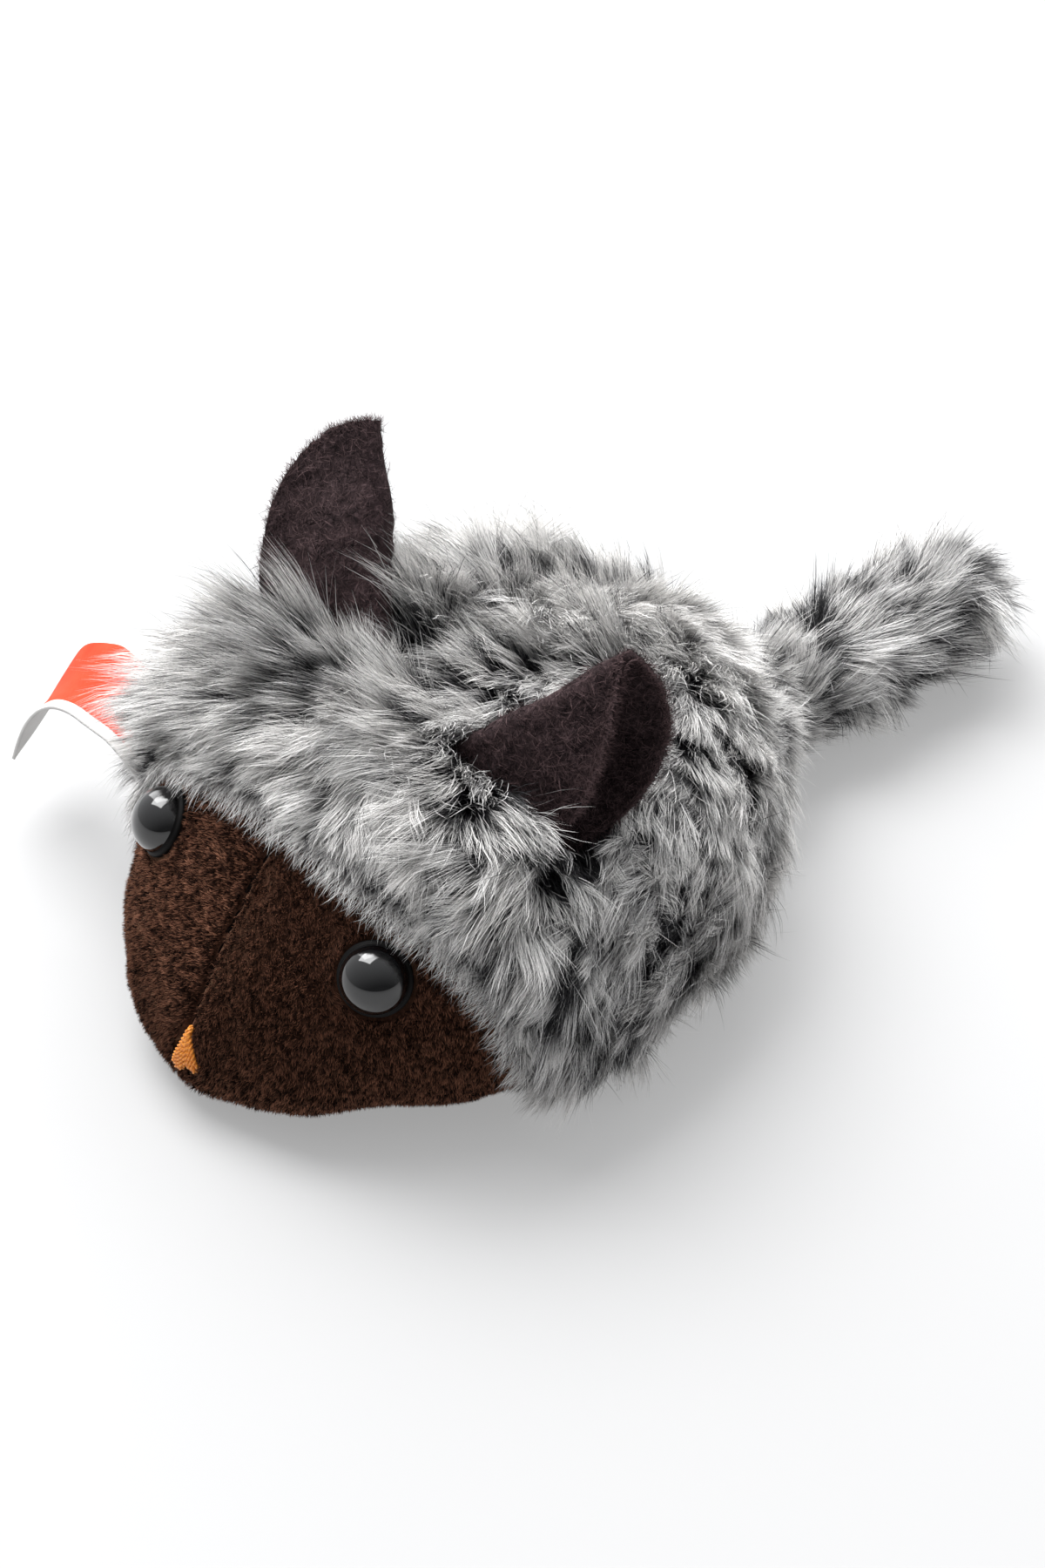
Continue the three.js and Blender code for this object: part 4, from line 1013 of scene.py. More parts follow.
def comb(name, side, y, phi):
    """Root, direction, lift at the root and at the tip, and length of the pile at points of a panel."""
    HALF[0] = side
    p, ty, tp, n = frame_at(y, phi, 0.3 + sunk(y, phi))
    s = np.array([side, 1, 1])
    p, ty, tp, n = p * s, ty * s, tp * s, n * s
    down = DOWN - n * np.sum(n * DOWN, -1, keepdims=True)
    lateral = np.array([side, 0, 0.0]) - n * n[:, :1] * side
    deg = np.degrees(phi)
    crown = smooth(deg, 45, 80)
    if name.startswith("head"):
        front = y - face_edge(phi)
        edge = 1 - smooth(front, 0.5, 6.0)
        f = -ty * (1.0 - 0.20 * edge)[:, None] + down * (0.36 * smooth(84 - deg, 0, 60) + 0.12 * edge)[:, None] + lateral * ((0.22 + 0.45 * edge) * smooth(deg, 40, 75) * (1 - smooth(deg, 84, 90)))[:, None]
        l0, l1 = np.full(len(y), np.radians(54.0)), np.full(len(y), np.radians(13.0))
        length = np.full(len(y), 8.4)
        if side < 0:
            # beside the far ear the pile is fuller and stands up
            tall = smooth(y, -25, -15) * smooth(deg, 5, 25) * (1 - smooth(deg, 68, 84))
            l0, l1, length = l0 + np.radians(4 + 18 * tall), l1 + np.radians(6 + 22 * tall), length * (1.08 + 0.32 * tall)
        length = length * (0.33 + 0.67 * smooth(front, -1.0, 7.0))
        l0 = l0 + np.radians(10) * edge
        l1 = l1 + np.radians(14) * edge
        low_edge = smooth((20 if side > 0 else 52) - deg, 0, 40)
        f = f + ty * ((0.10 if side > 0 else 1.25) * low_edge)[:, None]
        if side < 0:
            length = length * (1 - 0.30 * low_edge * edge)
    else:
        flank = smooth(70 - deg, 0, 40)
        aft = -0.45 - 0.50 * flank + 1.75 * smooth(y, 33, 45)
        f = ty * aft[:, None] + down * ((0.44 - 0.20 * smooth(y, 8, 30)) * smooth(86 - deg, 0, 60))[:, None] + lateral * (0.40 * smooth(deg, 50, 80))[:, None]
        thin = smooth(y, -6, 8) * smooth(70 - deg, 0, 40)
        crest = smooth(deg, 55, 80) * (1 - smooth(y, 18, 34))
        l0 = np.radians(54 - 4 * smooth(y, 26, 46) - 10 * thin + (14 if side < 0 else 8) * crest)
        l1 = np.radians(13 - 3 * smooth(y, 26, 46) - 6 * thin + (20 if side < 0 else 10) * crest)
        length = (8.4 - 1.0 * smooth(y, 20, 40)) * (1 - 0.16 * thin) * (1 + (0.16 if side < 0 else 0.0) * crest)
        if side < 0:
            tall = (1 - smooth(y, 4, 24)) * smooth(deg, 5, 30)
            l0, l1, length = l0 + np.radians(8 * tall), l1 + np.radians(14 * tall), length * (1 + 0.16 * tall)
    f = unit(f - n * np.sum(f * n, -1, keepdims=True))
    head = 1 - smooth(y, -7, -1)
    wild = (1 + 0.6 * crown * (1 - head) * (1 - smooth(y, 14, 30))) * (1 - 0.45 * smooth(y, 18, 34))
    ang = (np.radians(20 - 10 * head) * turn_big(p) + np.radians(30 - 8 * head) * turn_mid(p) + np.radians(15) * turn_small(p)) * wild
    f = rotate_about(f, n, ang)
    l0 = l0 + np.radians(7) * lift_f(p)
    l1 = l1 + np.radians(8) * lift_f(p + 40)
    length = length * (1 + 0.13 * len_f(p))
    # the pile is short where it is trimmed beside a seam, and stands up at the foot of an ear
    length = length * (0.76 + 0.24 * smooth(np.abs(y - CREASE_Y), 0.0, 3.0))
    length = length * (0.82 + 0.18 * smooth((np.pi / 2 - phi) * 24, 0.0, 3.0))
    fore, aft_, foot = ear_near(p)
    near = np.maximum(fore, 0.8 * aft_)
    l0 = l0 + near * (np.radians(66 if side > 0 else 80) - l0)
    l1 = l1 + near * (np.radians(36 if side > 0 else 50) + foot * np.radians(14 if side > 0 else 20) - l1)
    length = length * (1 + (0.20 if side > 0 else 0.10) * fore + (0.26 if side > 0 else 0.16) * foot)
    low = smooth(p[:, 2], 1.0, 9.0)
    l0 = np.maximum(l0 * (0.55 + 0.45 * low), np.radians(12))
    l1 = l1 * low + np.radians(4) * (1 - low)
    return p, f, n, l0, l1, length


class Bent:
    """Curves that leave the cloth at one slope, settle to another, and wave from side to side."""

    def __init__(self, p, f, n, l0, l1, length, r, curl, turns, sag=0.16):
        self.p, self.length, self.n = p, length, n
        self.d0 = n * np.sin(l0)[:, None] + f * np.cos(l0)[:, None]
        self.d1 = unit(n * np.sin(l1)[:, None] + f * np.cos(l1)[:, None] + DOWN * sag)
        self.side = np.cross(n, f)
        m = len(p)
        self.ph, self.pn = r.uniform(0, 2 * np.pi, m), r.uniform(0, 2 * np.pi, m)
        self.am = curl * r.uniform(0.35, 1.0, m)
        self.k = turns * r.uniform(0.8, 1.25, m)

    def at(self, t, who=None):
        """Points at t (M, K) on the curves who (M,)."""
        g = (lambda a: a) if who is None else (lambda a: a[who])
        T = t[..., None]
        L = g(self.length)[:, None, None]
        C = g(self.p)[:, None] + L * (g(self.d0)[:, None] * (T - T * T / 2) + g(self.d1)[:, None] * (T * T / 2))
        ph, pn, k, am = g(self.ph)[:, None], g(self.pn)[:, None], g(self.k)[:, None], g(self.am)[:, None]
        ease = np.sqrt(np.clip(t, 0, 1))
        a = (np.sin(ph + k * t) - np.sin(ph)) * am * ease
        b = (np.sin(pn + k * 0.9 * t) - np.sin(pn)) * am * 0.45 * ease
        return C + g(self.side)[:, None] * a[..., None] + g(self.n)[:, None] * b[..., None]


def fleece(combed, roots, move, dark_at, locks, strings, each, r, K=5, curl=(1.0, 0.32, 0.11), pull=(0.46, 0.92), bind=(0.45, 0.88), spread=0.56):
    """Locks that hold strings of hair, and strings that hold hairs. combed gives the pile at places,
    roots picks places for the locks, move shifts places by millimetres over the cloth, and dark_at
    is the share of locks that are charcoal, which lie lower than the pale ones; on the body it also
    holds painted shade and painted light."""
    where = roots(locks)
    P, F, Nn, L0, L1, LEN = combed(*where)
    m = len(P)
    murk = r.random(m) < dark_at(P)
    LEN, L1 = LEN * np.where(murk, 0.72, 1.0), L1 - np.where(murk, np.radians(6), 0)
    F = rotate_about(F, Nn, np.radians(11) * r.normal(size=m))
    L0, L1 = L0 + np.radians(5) * r.normal(size=m), L1 + np.radians(6) * r.normal(size=m)
    LEN = LEN * np.clip(1 + 0.15 * r.normal(size=m), 0.55, 1.4)
    lock = Bent(P, F, Nn, L0, L1, LEN, r, curl[0], 5.0)
    # strings
    i1 = np.repeat(np.arange(m), strings)
    w1 = move([w[i1] for w in where], spread, r)
    p, f, n, l0, l1, le = combed(*w1)
    M = len(p)
    loose = r.random(M) < 0.07
    f = unit(0.45 * f + 0.55 * F[i1])
    f = rotate_about(f, n, np.radians(9) * r.normal(size=M) + np.where(loose, np.radians(24) * r.normal(size=M), 0))
    l0 = 0.5 * (l0 + L0[i1]) + np.radians(5) * r.normal(size=M)
    l1 = 0.5 * (l1 + L1[i1]) + np.radians(6) * r.normal(size=M) + np.where(loose, np.radians(10), 0)
    le = LEN[i1] * np.clip(1 + 0.10 * r.normal(size=M), 0.6, 1.25)
    string = Bent(p, f, n, l0, l1, le, r, curl[1], 7.5)
    pull1 = np.where(loose, 0.05, r.uniform(*pull, M))
    # hairs
    i2 = np.repeat(np.arange(M), each)
    w2 = move([w[i2] for w in w1], 0.26, r)
    q, qf, qn, q0, q1, _ = combed(*w2)
    H = len(q)
    stray = r.random(H) < 0.07
    qf = unit(0.3 * qf + 0.7 * f[i2])
    qf = rotate_about(qf, qn, np.radians(10) * r.normal(size=H) + np.where(stray, np.radians(35) * r.normal(size=H), 0))
    q0 = l0[i2] + np.radians(7) * r.normal(size=H)
    q1 = l1[i2] + np.radians(9) * r.normal(size=H) + np.where(stray, np.radians(14) * r.random(H), 0)
    hair = Bent(q, qf, qn, q0, q1, le[i2], r, curl[2], 7.5)
    reach = np.clip(r.normal(0.88, 0.14, H), 0.45, 1.12)
    t = np.linspace(0, 1, K)[None] * reach[:, None]
    a = pull1[i2][:, None] * np.clip(t, 0, 1) ** 1.1
    b = np.where(stray, 0.05, r.uniform(*bind, H))[:, None] * np.clip(t, 0, 1) ** 0.7
    S = string.at(t, i2) * (1 - a[..., None]) + lock.at(t, i1[i2]) * a[..., None]
    C = hair.at(t) * (1 - b[..., None]) + S * b[..., None]
    return C, qn, i1[i2], i2, murk[i1][i2]


def wool(combed, where, r, K=4, rise=14, part=(0.42, 0.68)):
    p, f, n, l0, l1, le = combed(*where)
    m = len(p)
    f = rotate_about(f, n, np.radians(30) * r.normal(size=m))
    h = Bent(p, f, n, l0 + np.radians(8) * r.normal(size=m), l1 + np.radians(rise), le * r.uniform(*part, m), r, 0.5, 5.0)
    return h.at(np.broadcast_to(np.linspace(0, 1, K), (m, K))), n, p


def tones(murk, base, lock, string, r):
    """Charcoal or pale for each hair: a lock is mostly one of them, and strings within it vary."""
    m = len(murk)
    nl, ns = lock.max() + 1, string.max() + 1
    of = np.zeros(ns, bool)
    of[string] = murk
    streak = r.random(ns) < np.where(of, 0.92, 0.11)
    isdark = r.random(m) < np.where(streak, 0.92, 0.04)[string]
    shade = base - 0.10 * murk + 0.11 * r.normal(size=nl)[lock] + 0.12 * r.normal(size=ns)[string] + 0.08 * r.normal(size=m)
    return np.where(isdark, r.uniform(0.02, 0.2, m), np.clip(shade, 0.36, 0.99))


LIMIT = 185000
DENS = 1.0
THICK = 1.0
TAPER6 = np.array([0.9, 1.0, 1.0, 0.85, 0.65, 0.3])
TAPER5 = np.array([0.9, 1.0, 0.95, 0.7, 0.3])
TAPER4 = np.array([1.0, 1.0, 0.7, 0.3])


def lay(name, C, n, tone, width, body, seed, taper=None):
    K = C.shape[1]
    parts = max(1, math.ceil(len(C) * (2 * (K - 2) + 1) / LIMIT))
    r = np.random.default_rng(seed)
    order = r.permutation(len(C))
    for i in range(parts):
        sel = order[i::parts]
        ob = ribbons(f"{name}_{i + 1}", C[sel], THICK * width * r.uniform(0.7, 1.3, len(sel)), tone[sel], [FUR], body=body, taper=taper, seed=seed + i, face=n[sel])


def clear_of_ears(*arrays):
    X = arrays[0]
    X[..., 2] = np.maximum(X[..., 2], 0.25 + 0.5 * np.random.default_rng(9).random(len(X))[:, None])
    bad = np.zeros(len(X), bool)
    for k in EARS:
        bad |= in_ear(k, X)[0][:, 1:].any(1)
    return [a[~bad] for a in arrays]


def grow(name, side, yA, yB, locks, strings, each, under, seed):
    HALF[0] = side
    r = np.random.default_rng(seed)

    def combed(y, phi):
        return comb(name, side, y, phi)

    def roots(count):
        return sample_panel(side, yA, yB, count, r)

    def move(where, d, r):
        y = where[0] + d * 0.85 * r.normal(size=len(where[0]))
        phi = where[1] + d * r.normal(size=len(y)) / np.maximum(6, half_w(y))
        phi = np.clip(phi, belly_angle(y) + 0.005, np.pi / 2 - 0.004)
        return np.clip(y, yA(phi) + 0.05, yB(phi) - 0.05), phi

    def dark_at(p):
        up_deg = np.degrees(np.arctan2(p[:, 2] - 17, np.abs(p[:, 0])))
        d = 0.38 + 0.13 * tone_a(p) + 0.17 * tone_b(p) + 0.08 * tone_c(p)
        if name.startswith("head"):
            # Fewer charcoal locks on the top of the head: painted light. More low down beside the face, most on the
            # near side: painted shade.
            d = d - 0.11 * smooth(up_deg, 30, 60) + (0.22 if side > 0 else 0.06) * smooth(-10 - p[:, 1], 0, 10) * smooth(60 - up_deg, 0, 30)
        if name.startswith("back"):
            # Fewer charcoal locks towards the tail, from further forward on the top of the near side: painted light for
            # the lit back and rear.
            d = d - 0.28 * smooth(p[:, 1] + (12 if side > 0 else 0) * smooth(up_deg, 20, 45), 8, 24)
        # More charcoal locks low on the outer sides of the front half: painted shade on the flanks.
        d = d + 0.20 * smooth(side * p[:, 0], 12, 24) * (1 - smooth(p[:, 1], -4, 18)) * smooth(32 - p[:, 2], 0, 14)
        # More charcoal locks along the top of the crease between head and back: painted shade in the crease.
        return d + 0.16 * np.exp(-((p[:, 1] - CREASE_Y - 1) / 6.0) ** 2) * smooth(up_deg, 30, 60)

    curl = (1.15, 0.68, 0.23) if name.startswith("head") else (1.05, 0.46, 0.16)
    C, n, lock, string, murk = fleece(combed, roots, move, dark_at, locks, strings, each, r, curl=curl)
    # The pale hairs grow paler towards the tail, from further forward on the near side: painted light for the lit rear.
    u = tones(murk, 0.82 - 0.05 * tone_b(C[:, 0] + 9) + 0.07 * smooth(C[:, 0, 1] + (10 if side > 0 else 0), 12, 28), lock, string, r)
    W, wn, wp = wool(combed, sample_panel(side, yA, yB, under, r), r)
    # Most undercoat hairs are charcoal: partly the undercoat's own colour, partly painted shade between the locks.
    # Fewer are charcoal towards the tail: painted light for the lit rear.
    uu = np.where(r.random(len(W)) < 0.90 + 0.06 * tone_b(wp) - 0.30 * smooth(wp[:, 1], 8, 24), r.uniform(0.02, 0.2, len(W)), r.uniform(0.36, 0.7, len(W)))
    C, n, u = clear_of_ears(C, n, u)
    W, wn, uu = clear_of_ears(W, wn, uu)
    word = name.replace("_fur_", "_")
    lay(word + "_pile", C, n, u, 0.060, "body", 200 + seed * 10, TAPER5)
    lay(word + "_wool", W, wn, uu, 0.11, "body", 600 + seed * 10, TAPER4)


def fringe(side, count, seed):
    """Thin single hairs that stray from the edge of the pile over the suede."""
    HALF[0] = side
    r = np.random.default_rng(seed)
    phi = r.uniform(np.radians(-38), np.radians(89), count)
    y = face_edge(phi) + 0.2 + 0.9 * r.random(count)
    name = "head_fur_left" if side > 0 else "head_fur_right"
    p, f, n, l0, l1, le = comb(name, side, y, phi)
    ty = frame_at(y, phi)[1] * np.array([side, 1, 1])
    f = unit(f * 0.6 - ty * 0.8 + 0.4 * r.normal(size=f.shape))
    f = unit(f - n * np.sum(f * n, -1, keepdims=True))
    h = Bent(p, f, n, np.radians(r.uniform(25, 60, count)), np.radians(r.uniform(-8, 22, count)), r.uniform(2.4, 6.4, count), r, 0.55, 6.0)
    C = h.at(np.broadcast_to(np.linspace(0, 1, 6), (count, 6)))
    C[..., 2] = np.maximum(C[..., 2], 0.25 + 0.4 * r.random(count)[:, None])
    lay("fringe_left" if side > 0 else "fringe_right", C, n, np.where(r.random(count) < 0.15, 0.1, r.uniform(0.65, 0.97, count)), 0.056, "body", 1000 + seed, TAPER6)


for s_ in (1, -1):
    fringe(s_, 3200, 5 + s_)

HAIRS = {"head_fur_left": (700, 8, 12, 14000), "head_fur_right": (700, 8, 12, 14000),
         "back_fur_left": (2300, 7, 11, 26000), "back_fur_right": (2000, 7, 10, 22000)}
for n_, (name, (side, yA, yB, _, _)) in enumerate(PANELS.items()):
    lk, st, ea, un = HAIRS[name]
    grow(name, side, yA, yB, lk, int(st * (1)), int(ea * (1)), int(un * DENS), n_ + 1)


# ------------------------------------------------------------------ tail
def tail_axis(y):
    t = np.clip((y - TAIL_PIVOT[1]) / (TAIL_END_Y - TAIL_PIVOT[1]), -1, 1)
    x = np.where(t > 0, 0.6 * t * t, 0)
    z = TAIL_PIVOT[2] - np.where(t > 0, 0.54 * np.sin(np.pi * np.minimum(1, t * 1.1)), 0)
    return np.stack([x, y, z], -1)


TAIL_PROF = np.array([[-4.6, 3.2], [-3.4, 4.3], [-1.6, 4.9], [1, 4.9], [5, 4.7], [10, 4.8], [16, 5.1], [22, 5.3], [28, 5.3], [32, 4.9], [34.8, 4.0], [36.5, 2.6], [38.1, 0.4]])
tail_r = pchip(TAIL_PROF[:, 0], TAIL_PROF[:, 1])


def tail_cloth():
    d = np.linspace(-4.6, 38.05, 70)
    th = np.linspace(0, 2 * np.pi, 48, endpoint=False)
    out_r = tail_r(d)
    ax = tail_axis(TAIL_PIVOT[1] + d)
    rough = field(81, 5.0)
    ring = lambda rr, axx: axx[:, None] + rr[:, None, None] * np.stack([np.cos(th), 0 * th, 0.97 * np.sin(th)], -1)[None]
    R = ring(out_r, ax)
    R = R + 0.2 * rough(R)[..., None] * unit(R - ax[:, None])
    di = np.linspace(-4.6, 33.5, 40)
    ri = np.minimum(tail_r(di) - 0.9, 4.0)
    ri = np.maximum(ri, 0.3)
    inner = ring(ri, tail_axis(TAIL_PIVOT[1] + di))[::-1]
    ob = rings_mesh("tail_cloth", np.concatenate([inner, R]), [BACKING], body="tail")
    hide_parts("tail_fur_sleeve")


tail_cloth()


def tail_comb(d, th):
    ax = tail_axis(TAIL_PIVOT[1] + d)
    e = 0.05
    slope = (tail_r(d + e) - tail_r(d - e)) / (2 * e)
    rad = np.stack([np.cos(th), 0 * th, np.sin(th)], -1)
    p = ax + rad * (tail_r(d) * 0.98)[:, None]
    n = unit(rad + np.array([0, -1.0, 0]) * slope[:, None])
    f = np.tile([0, 1.0, 0], (len(d), 1)) + DOWN * 0.25
    f = unit(f - n * np.sum(f * n, -1, keepdims=True))
    f = rotate_about(f, n, np.radians(24) * turn_mid(p) + np.radians(24) * turn_small(p))
    upper = smooth(np.sin(th), -0.2, 0.7)
    l0 = np.radians(50) + np.radians(8) * upper + np.radians(9) * lift_f(p)
    l1 = np.radians(18) + np.radians(12) * upper + np.radians(9) * lift_f(p + 30)
    length = (7.6 + 1.0 * upper + 0.8 * smooth(d, 28, 37)) * (1 + 0.12 * len_f(p)) * (0.75 + 0.25 * smooth(d, -3, 4))
    return p, f, n, l0, l1, length


def tail_fur(locks, strings, each, under, seed):
    r = np.random.default_rng(seed)

    def roots(count):
        d = r.uniform(-3.0, 37.6, count * 3)
        d = d[r.random(count * 3) < (tail_r(d) + 1.2) / 6.6][:count]
        return d, r.uniform(0, 2 * np.pi, len(d))

    def move(where, d, r):
        x = np.clip(where[0] + 0.85 * d * r.normal(size=len(where[0])), -3.4, 37.9)
        return x, where[1] + d * r.normal(size=len(x)) / 5.5

    def dark_at(p):
        return 0.42 + 0.10 * tone_a(p) + 0.18 * tone_b(p) + 0.08 * tone_c(p) - 0.08 * (1 - smooth(p[:, 1], 54, 68))

    C, n, lock, string, murk = fleece(tail_comb, roots, move, dark_at, locks, strings, each, r, curl=(1.0, 0.35, 0.13))
    u = tones(murk, 0.74 - 0.06 * tone_b(C[:, 0] + 9), lock, string, r)
    W, wn, wp = wool(tail_comb, roots(under), r, rise=8, part=(0.5, 0.8))
    uu = np.where(r.random(len(W)) < 0.62 + 0.12 * tone_b(wp), r.uniform(0.02, 0.2, len(W)), r.uniform(0.36, 0.7, len(W)))
    for X in (C, W):
        X[..., 2] = np.maximum(X[..., 2], 0.25 + 0.5 * r.random(len(X))[:, None])
    lay("tail_pile", C, n, u, 0.060, "tail", 900, TAPER5)
    lay("tail_wool", W, wn, uu, 0.11, "tail", 950, TAPER4)


tail_fur(480, 11, 10, int(11000 * DENS), 150)


# ------------------------------------------------------------------ suede nap
def nap(side, count, seed):
    """Short upright fibres that give the face its soft edge and grain."""
    HALF[0] = side
    EYE_P = EYES[side][0]
    r = np.random.default_rng(seed)
    got = []
    while sum(len(g[0]) for g in got) < count:
        y = r.uniform(NOSE_Y + 0.15, -11, count * 3)
        phi = r.uniform(-np.pi / 2, np.pi / 2, count * 3)
        ok = (phi > belly_angle(y) + 0.02) & (y < face_edge(phi) + 0.6)
        y, phi = y[ok], phi[ok]
        e = 0.05
        A = np.cross((skin(y + e, phi) - skin(y - e, phi)) / (2 * e), (skin(y, phi + 0.004) - skin(y, phi - 0.004)) / 0.008)
        w = np.linalg.norm(A, axis=-1)
        keep = r.random(len(y)) * 60.0 < w
        got.append((y[keep], phi[keep]))
    y, phi = (np.concatenate([g[k] for g in got])[:count] for k in (0, 1))
    p, ty, tp, n = frame_at(y, phi, 0.0)
    s = np.array([side, 1, 1])
    q = p * s
    d = 0.22 * lump(q) + 0.07 * lump2(q)
    x0 = p[:, 0]
    ss = np.sqrt((y + 40) ** 2 + (p[:, 2] - 6) ** 2)
    near = np.exp(-((x0 / 1.5) ** 2))
    d = d * (1 - near) - near * (0.22 + 0.13 * np.cos(2 * np.pi * ss / 2.3 + (0.7 if side > 0 else 0)))
    d += -0.16 * np.exp(-((x0 / 4.0) ** 2)) * (0.5 + 0.5 * pucker(q))
    rr = np.linalg.norm(p - EYE_P, axis=1)
    d = d * smooth(rr, 5.0, 8.0) + 0.62 * np.exp(-(((rr - 5.2) / 0.85) ** 2)) - 0.25 * (1 - smooth(rr, 3.6, 4.4))
    d = (d - 0.55 * np.exp(-((x0 / 0.42) ** 2))) * smooth(p[:, 2], 0.5, 8.0)
    p = p + n * (d - 0.05)[:, None]
    keep = (rr > 4.9) & (np.abs(x0) > 0.22) & ~((np.abs(p[:, 0]) < 0.6 + 0.33 * (11.8 - p[:, 2])) & (p[:, 2] < 11.6) & (p[:, 2] > 5.4) & (y < -36))
    p, n, ty, tp, q = (a[keep] for a in (p, n, ty, tp, q))
    m = len(p)
    patch = field(91, 3.0)(q)
    grain = np.tanh(1.15 * field(92, 1.05, 64)(q) + 0.75 * field(97, 0.6, 64)(q))
    flow = unit(-tp * 1.0 - ty * 0.4 + 0.35 * ty * patch[:, None])
    dirn = unit(n + flow * (0.55 + 0.25 * patch + 0.45 * grain)[:, None] + 0.30 * r.normal(size=(m, 3)))
    L = r.uniform(0.50, 0.95, m)
    p1 = p + dirn * L[:, None]
    p1[:, 2] = np.maximum(p1[:, 2], 0.05)
    C = np.stack([p, p1], 1) * s
    u = np.where(r.random(m) < 0.43 - 0.08 * patch - 0.36 * grain, r.uniform(0.02, 0.2, m), np.clip(r.normal(0.68, 0.14, m) + 0.24 * grain, 0.36, 0.99))
    word = "left" if side > 0 else "right"
    ob = strands(f"nap_{word}", C, r.uniform(0.05, 0.085, m), u, [NAP], body="body", taper=np.array([1.0, 0.3]), seed=seed)


for word, side in SIDES.items():
    nap(side, 42000, 500 + side)

# ------------------------------------------------------------------ inner pieces
def filling(name, node, mat, pull, lumps, wave, voxel, seed, body="body"):
    """A soft lumpy mass in the room that its frame solid holds, drawn in unevenly from all sides."""
    src = bpy.data.objects[node]
    tmp = bpy.data.objects.new(name + "_room", src.data.copy())
    bpy.context.scene.collection.objects.link(tmp)
    tmp.matrix_world = src.matrix_world.copy()
    m = tmp.modifiers.new("remesh", "REMESH")
    m.mode, m.voxel_size = "VOXEL", voxel * MM
    bpy.context.view_layer.update()
    me = bpy.data.meshes.new_from_object(tmp.evaluated_get(bpy.context.evaluated_depsgraph_get()))
    nv, nl, npoly = len(me.vertices), len(me.loops), len(me.polygons)
    co, nr, lv = np.zeros(nv * 3, np.float32), np.zeros(nv * 3, np.float32), np.zeros(nl, np.int32)
    st, to = np.zeros(npoly, np.int32), np.zeros(npoly, np.int32)
    me.vertices.foreach_get("co", co)
    me.vertices.foreach_get("normal", nr)
    me.loops.foreach_get("vertex_index", lv)
    me.polygons.foreach_get("loop_start", st)
    me.polygons.foreach_get("loop_total", to)
    M = np.array(tmp.matrix_world)
    p = co.reshape(-1, 3) @ M[:3, :3].T.astype(np.float32) + M[:3, 3]
    n = unit(nr.reshape(-1, 3) @ M[:3, :3].T)
    bpy.data.objects.remove(tmp)
    p = p.astype(float) / MM
    soft, tuft = field(seed, wave), field(seed + 1, wave * 0.3)
    d = pull(p) + lumps * (0.5 + 0.5 * np.tanh(soft(p))) + lumps * 0.35 * (0.5 + 0.5 * np.tanh(tuft(p)))
    ob = make_mesh(name, p - n * d[:, None], lv, st, to, mats=[mat], body=body)
    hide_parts(node)
    return ob


filling("fill_front", "stuffing_front", STUFFING, lambda p: 0.25 - sunk(p[:, 1]), 0.8, 7.0, 1.3, 301)
filling("fill_rear", "stuffing_rear", STUFFING, lambda p: 0.25 - sunk(p[:, 1]), 0.8, 7.0, 1.3, 303)
filling("fill_tail", "tail_stuffing", STUFFING, lambda p: np.full(len(p), 0.1), 0.5, 4.0, 0.6, 305, body="tail")
filling("catnip_leaves", "catnip_filling", HERB, lambda p: np.full(len(p), 0.1), 0.6, 1.8, 0.5, 307)


def sachet(side):
    """One wrinkled face of the little bag, gathered a little into the seam round its edge."""
    w, h, t = 15.0, 12.0, 4.2
    a, b = np.meshgrid(np.linspace(0, 1, 61), np.linspace(0, 1, 51), indexing="ij")
    x, z = 2 * a - 1, 2 * b - 1
    k, r = np.maximum(0, (1 - x ** 4) * (1 - z ** 4)), 1 - 0.07 * x * x * z * z
    rim = smooth(np.maximum(np.abs(x), np.abs(z)), 0.55, 0.95)
    folds = field(311 + side, 3.0)
    q = np.stack([x * w * r, 0 * x, z * h * r], -1)
    y = 0.15 + t * k ** 0.8 + 0.22 * rim * (1 - rim ** 6) * (folds(q) - 0.4)
    th = 0.40
    mid = np.array([0, 8.0, 20.0])
    top, low = (mid + np.stack([x * w * r, side * (np.maximum(y, 0.06) + o), z * h * r], -1) for o in (th, 0.0))
    name = "sachet_front_sheet" if side < 0 else "sachet_back_sheet"
    ob = slab(name.replace("_sheet", "_cloth"), top, low, [SACHET])
    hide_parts(name)


sachet(-1)
sachet(1)
for node, m in {"eye_washer_left": WASHER, "eye_washer_right": WASHER, "tail_thread": KNOT}.items():
    ob = bpy.data.objects[node]
    ob.data.materials.clear()
    ob.data.materials.append(m)

# the middle surface of each ear's felt, worked out on a fine grid
for k in EARS:
    a, b = np.meshgrid(np.linspace(0, 1, 201), np.linspace(0, 1, 81), indexing="ij")
    g = ear_mid(k, a, b)[0]

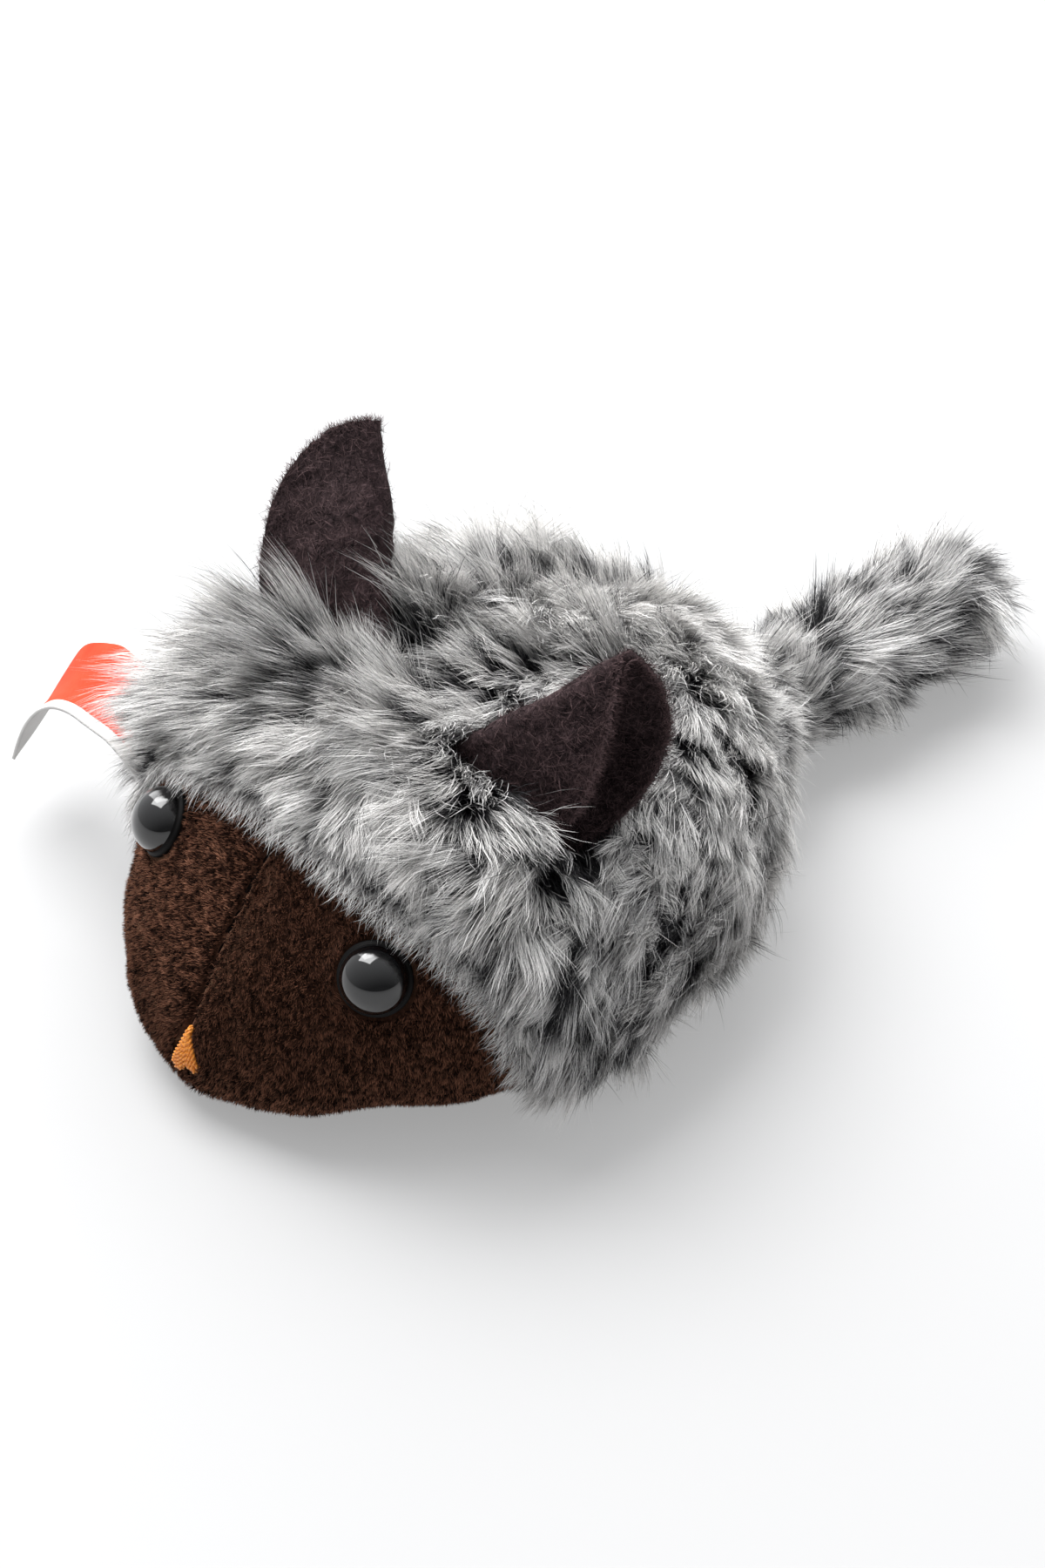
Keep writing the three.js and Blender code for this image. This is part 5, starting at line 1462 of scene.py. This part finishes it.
# ------------------------------------------------------------------ floor and light
def floor():
    n = 40
    me = bpy.data.meshes.new("floor")
    me.from_pydata([(-3, -3, 0), (3, -3, 0), (3, 3, 0), (-3, 3, 0)], [], [(0, 1, 2, 3)])
    m, nt, b = shader("floor_paper", rough=0.85, spec=0.2)
    v = mapping(nt)
    t = noise_tex(nt, v, 3.0, 3)
    nt.links.new(ramp(nt, [(0.3, (0.276, 0.276, 0.279)), (0.7, (0.287, 0.287, 0.289))], t), b.inputs["Base Color"])
    # The floor paper glows evenly (emission): painted light that lifts the shadows on the floor; its base colour is
    # kept low to match.
    b.inputs["Emission Color"].default_value = (1, 1, 1, 1)
    b.inputs["Emission Strength"].default_value = 0.335
    me.materials.append(m)
    ob = bpy.data.objects.new("floor", me)
    bpy.context.scene.collection.objects.link(ob)


floor()


def area(name, where, to, size, watts, color=(1, 1, 1), size_y=None):
    li = bpy.data.lights.new(name, "AREA")
    li.shape = "RECTANGLE"
    li.size, li.size_y = size, size_y or size
    li.energy, li.color = watts, color
    ob = bpy.data.objects.new(name, li)
    where, to = Vector(where), Vector(to)
    ob.location = where
    ob.rotation_euler = (to - where).to_track_quat("-Z", "Y").to_euler()
    bpy.context.scene.collection.objects.link(ob)
    return ob


centre = Vector((0, 0.01, 0.02))
hl, hr, hb = -right, right, Vector((-math.sin(AZ), math.cos(AZ), 0))   # picture left, right, away
area("key", centre + hl * 0.18 + hb * 0.18 + Vector((0, 0, 0.54)), centre, 0.44, 5.0)
area("back", centre + hl * 0.10 + hb * 0.65 + Vector((0, 0, 0.63)), centre, 1.05, 13.5)


def studio():
    """Bright behind the object and to its left, darker above the camera."""
    w = bpy.data.worlds.new("world")
    w.use_nodes = True
    nt = w.node_tree
    bg = nt.nodes["Background"]
    tc = nt.nodes.new("ShaderNodeTexCoord")
    dot = nt.nodes.new("ShaderNodeVectorMath")
    dot.operation = "DOT_PRODUCT"
    nt.links.new(tc.outputs["Generated"], dot.inputs[0])
    toward = (hb * 0.72 + hl * 0.16 + Vector((0, 0, 0.58))).normalized()
    dot.inputs[1].default_value = toward
    r = nt.nodes.new("ShaderNodeMapRange")
    r.inputs["From Min"].default_value, r.inputs["From Max"].default_value = -0.6, 0.9
    r.inputs["To Min"].default_value, r.inputs["To Max"].default_value = 0.14, 1.05
    nt.links.new(dot.outputs["Value"], r.inputs["Value"])
    nt.links.new(r.outputs[0], bg.inputs[1])
    bg.inputs[0].default_value = (0.975, 0.985, 1.0, 1)
    bpy.context.scene.world = w


studio()
bpy.context.scene.view_settings.view_transform = "Standard"
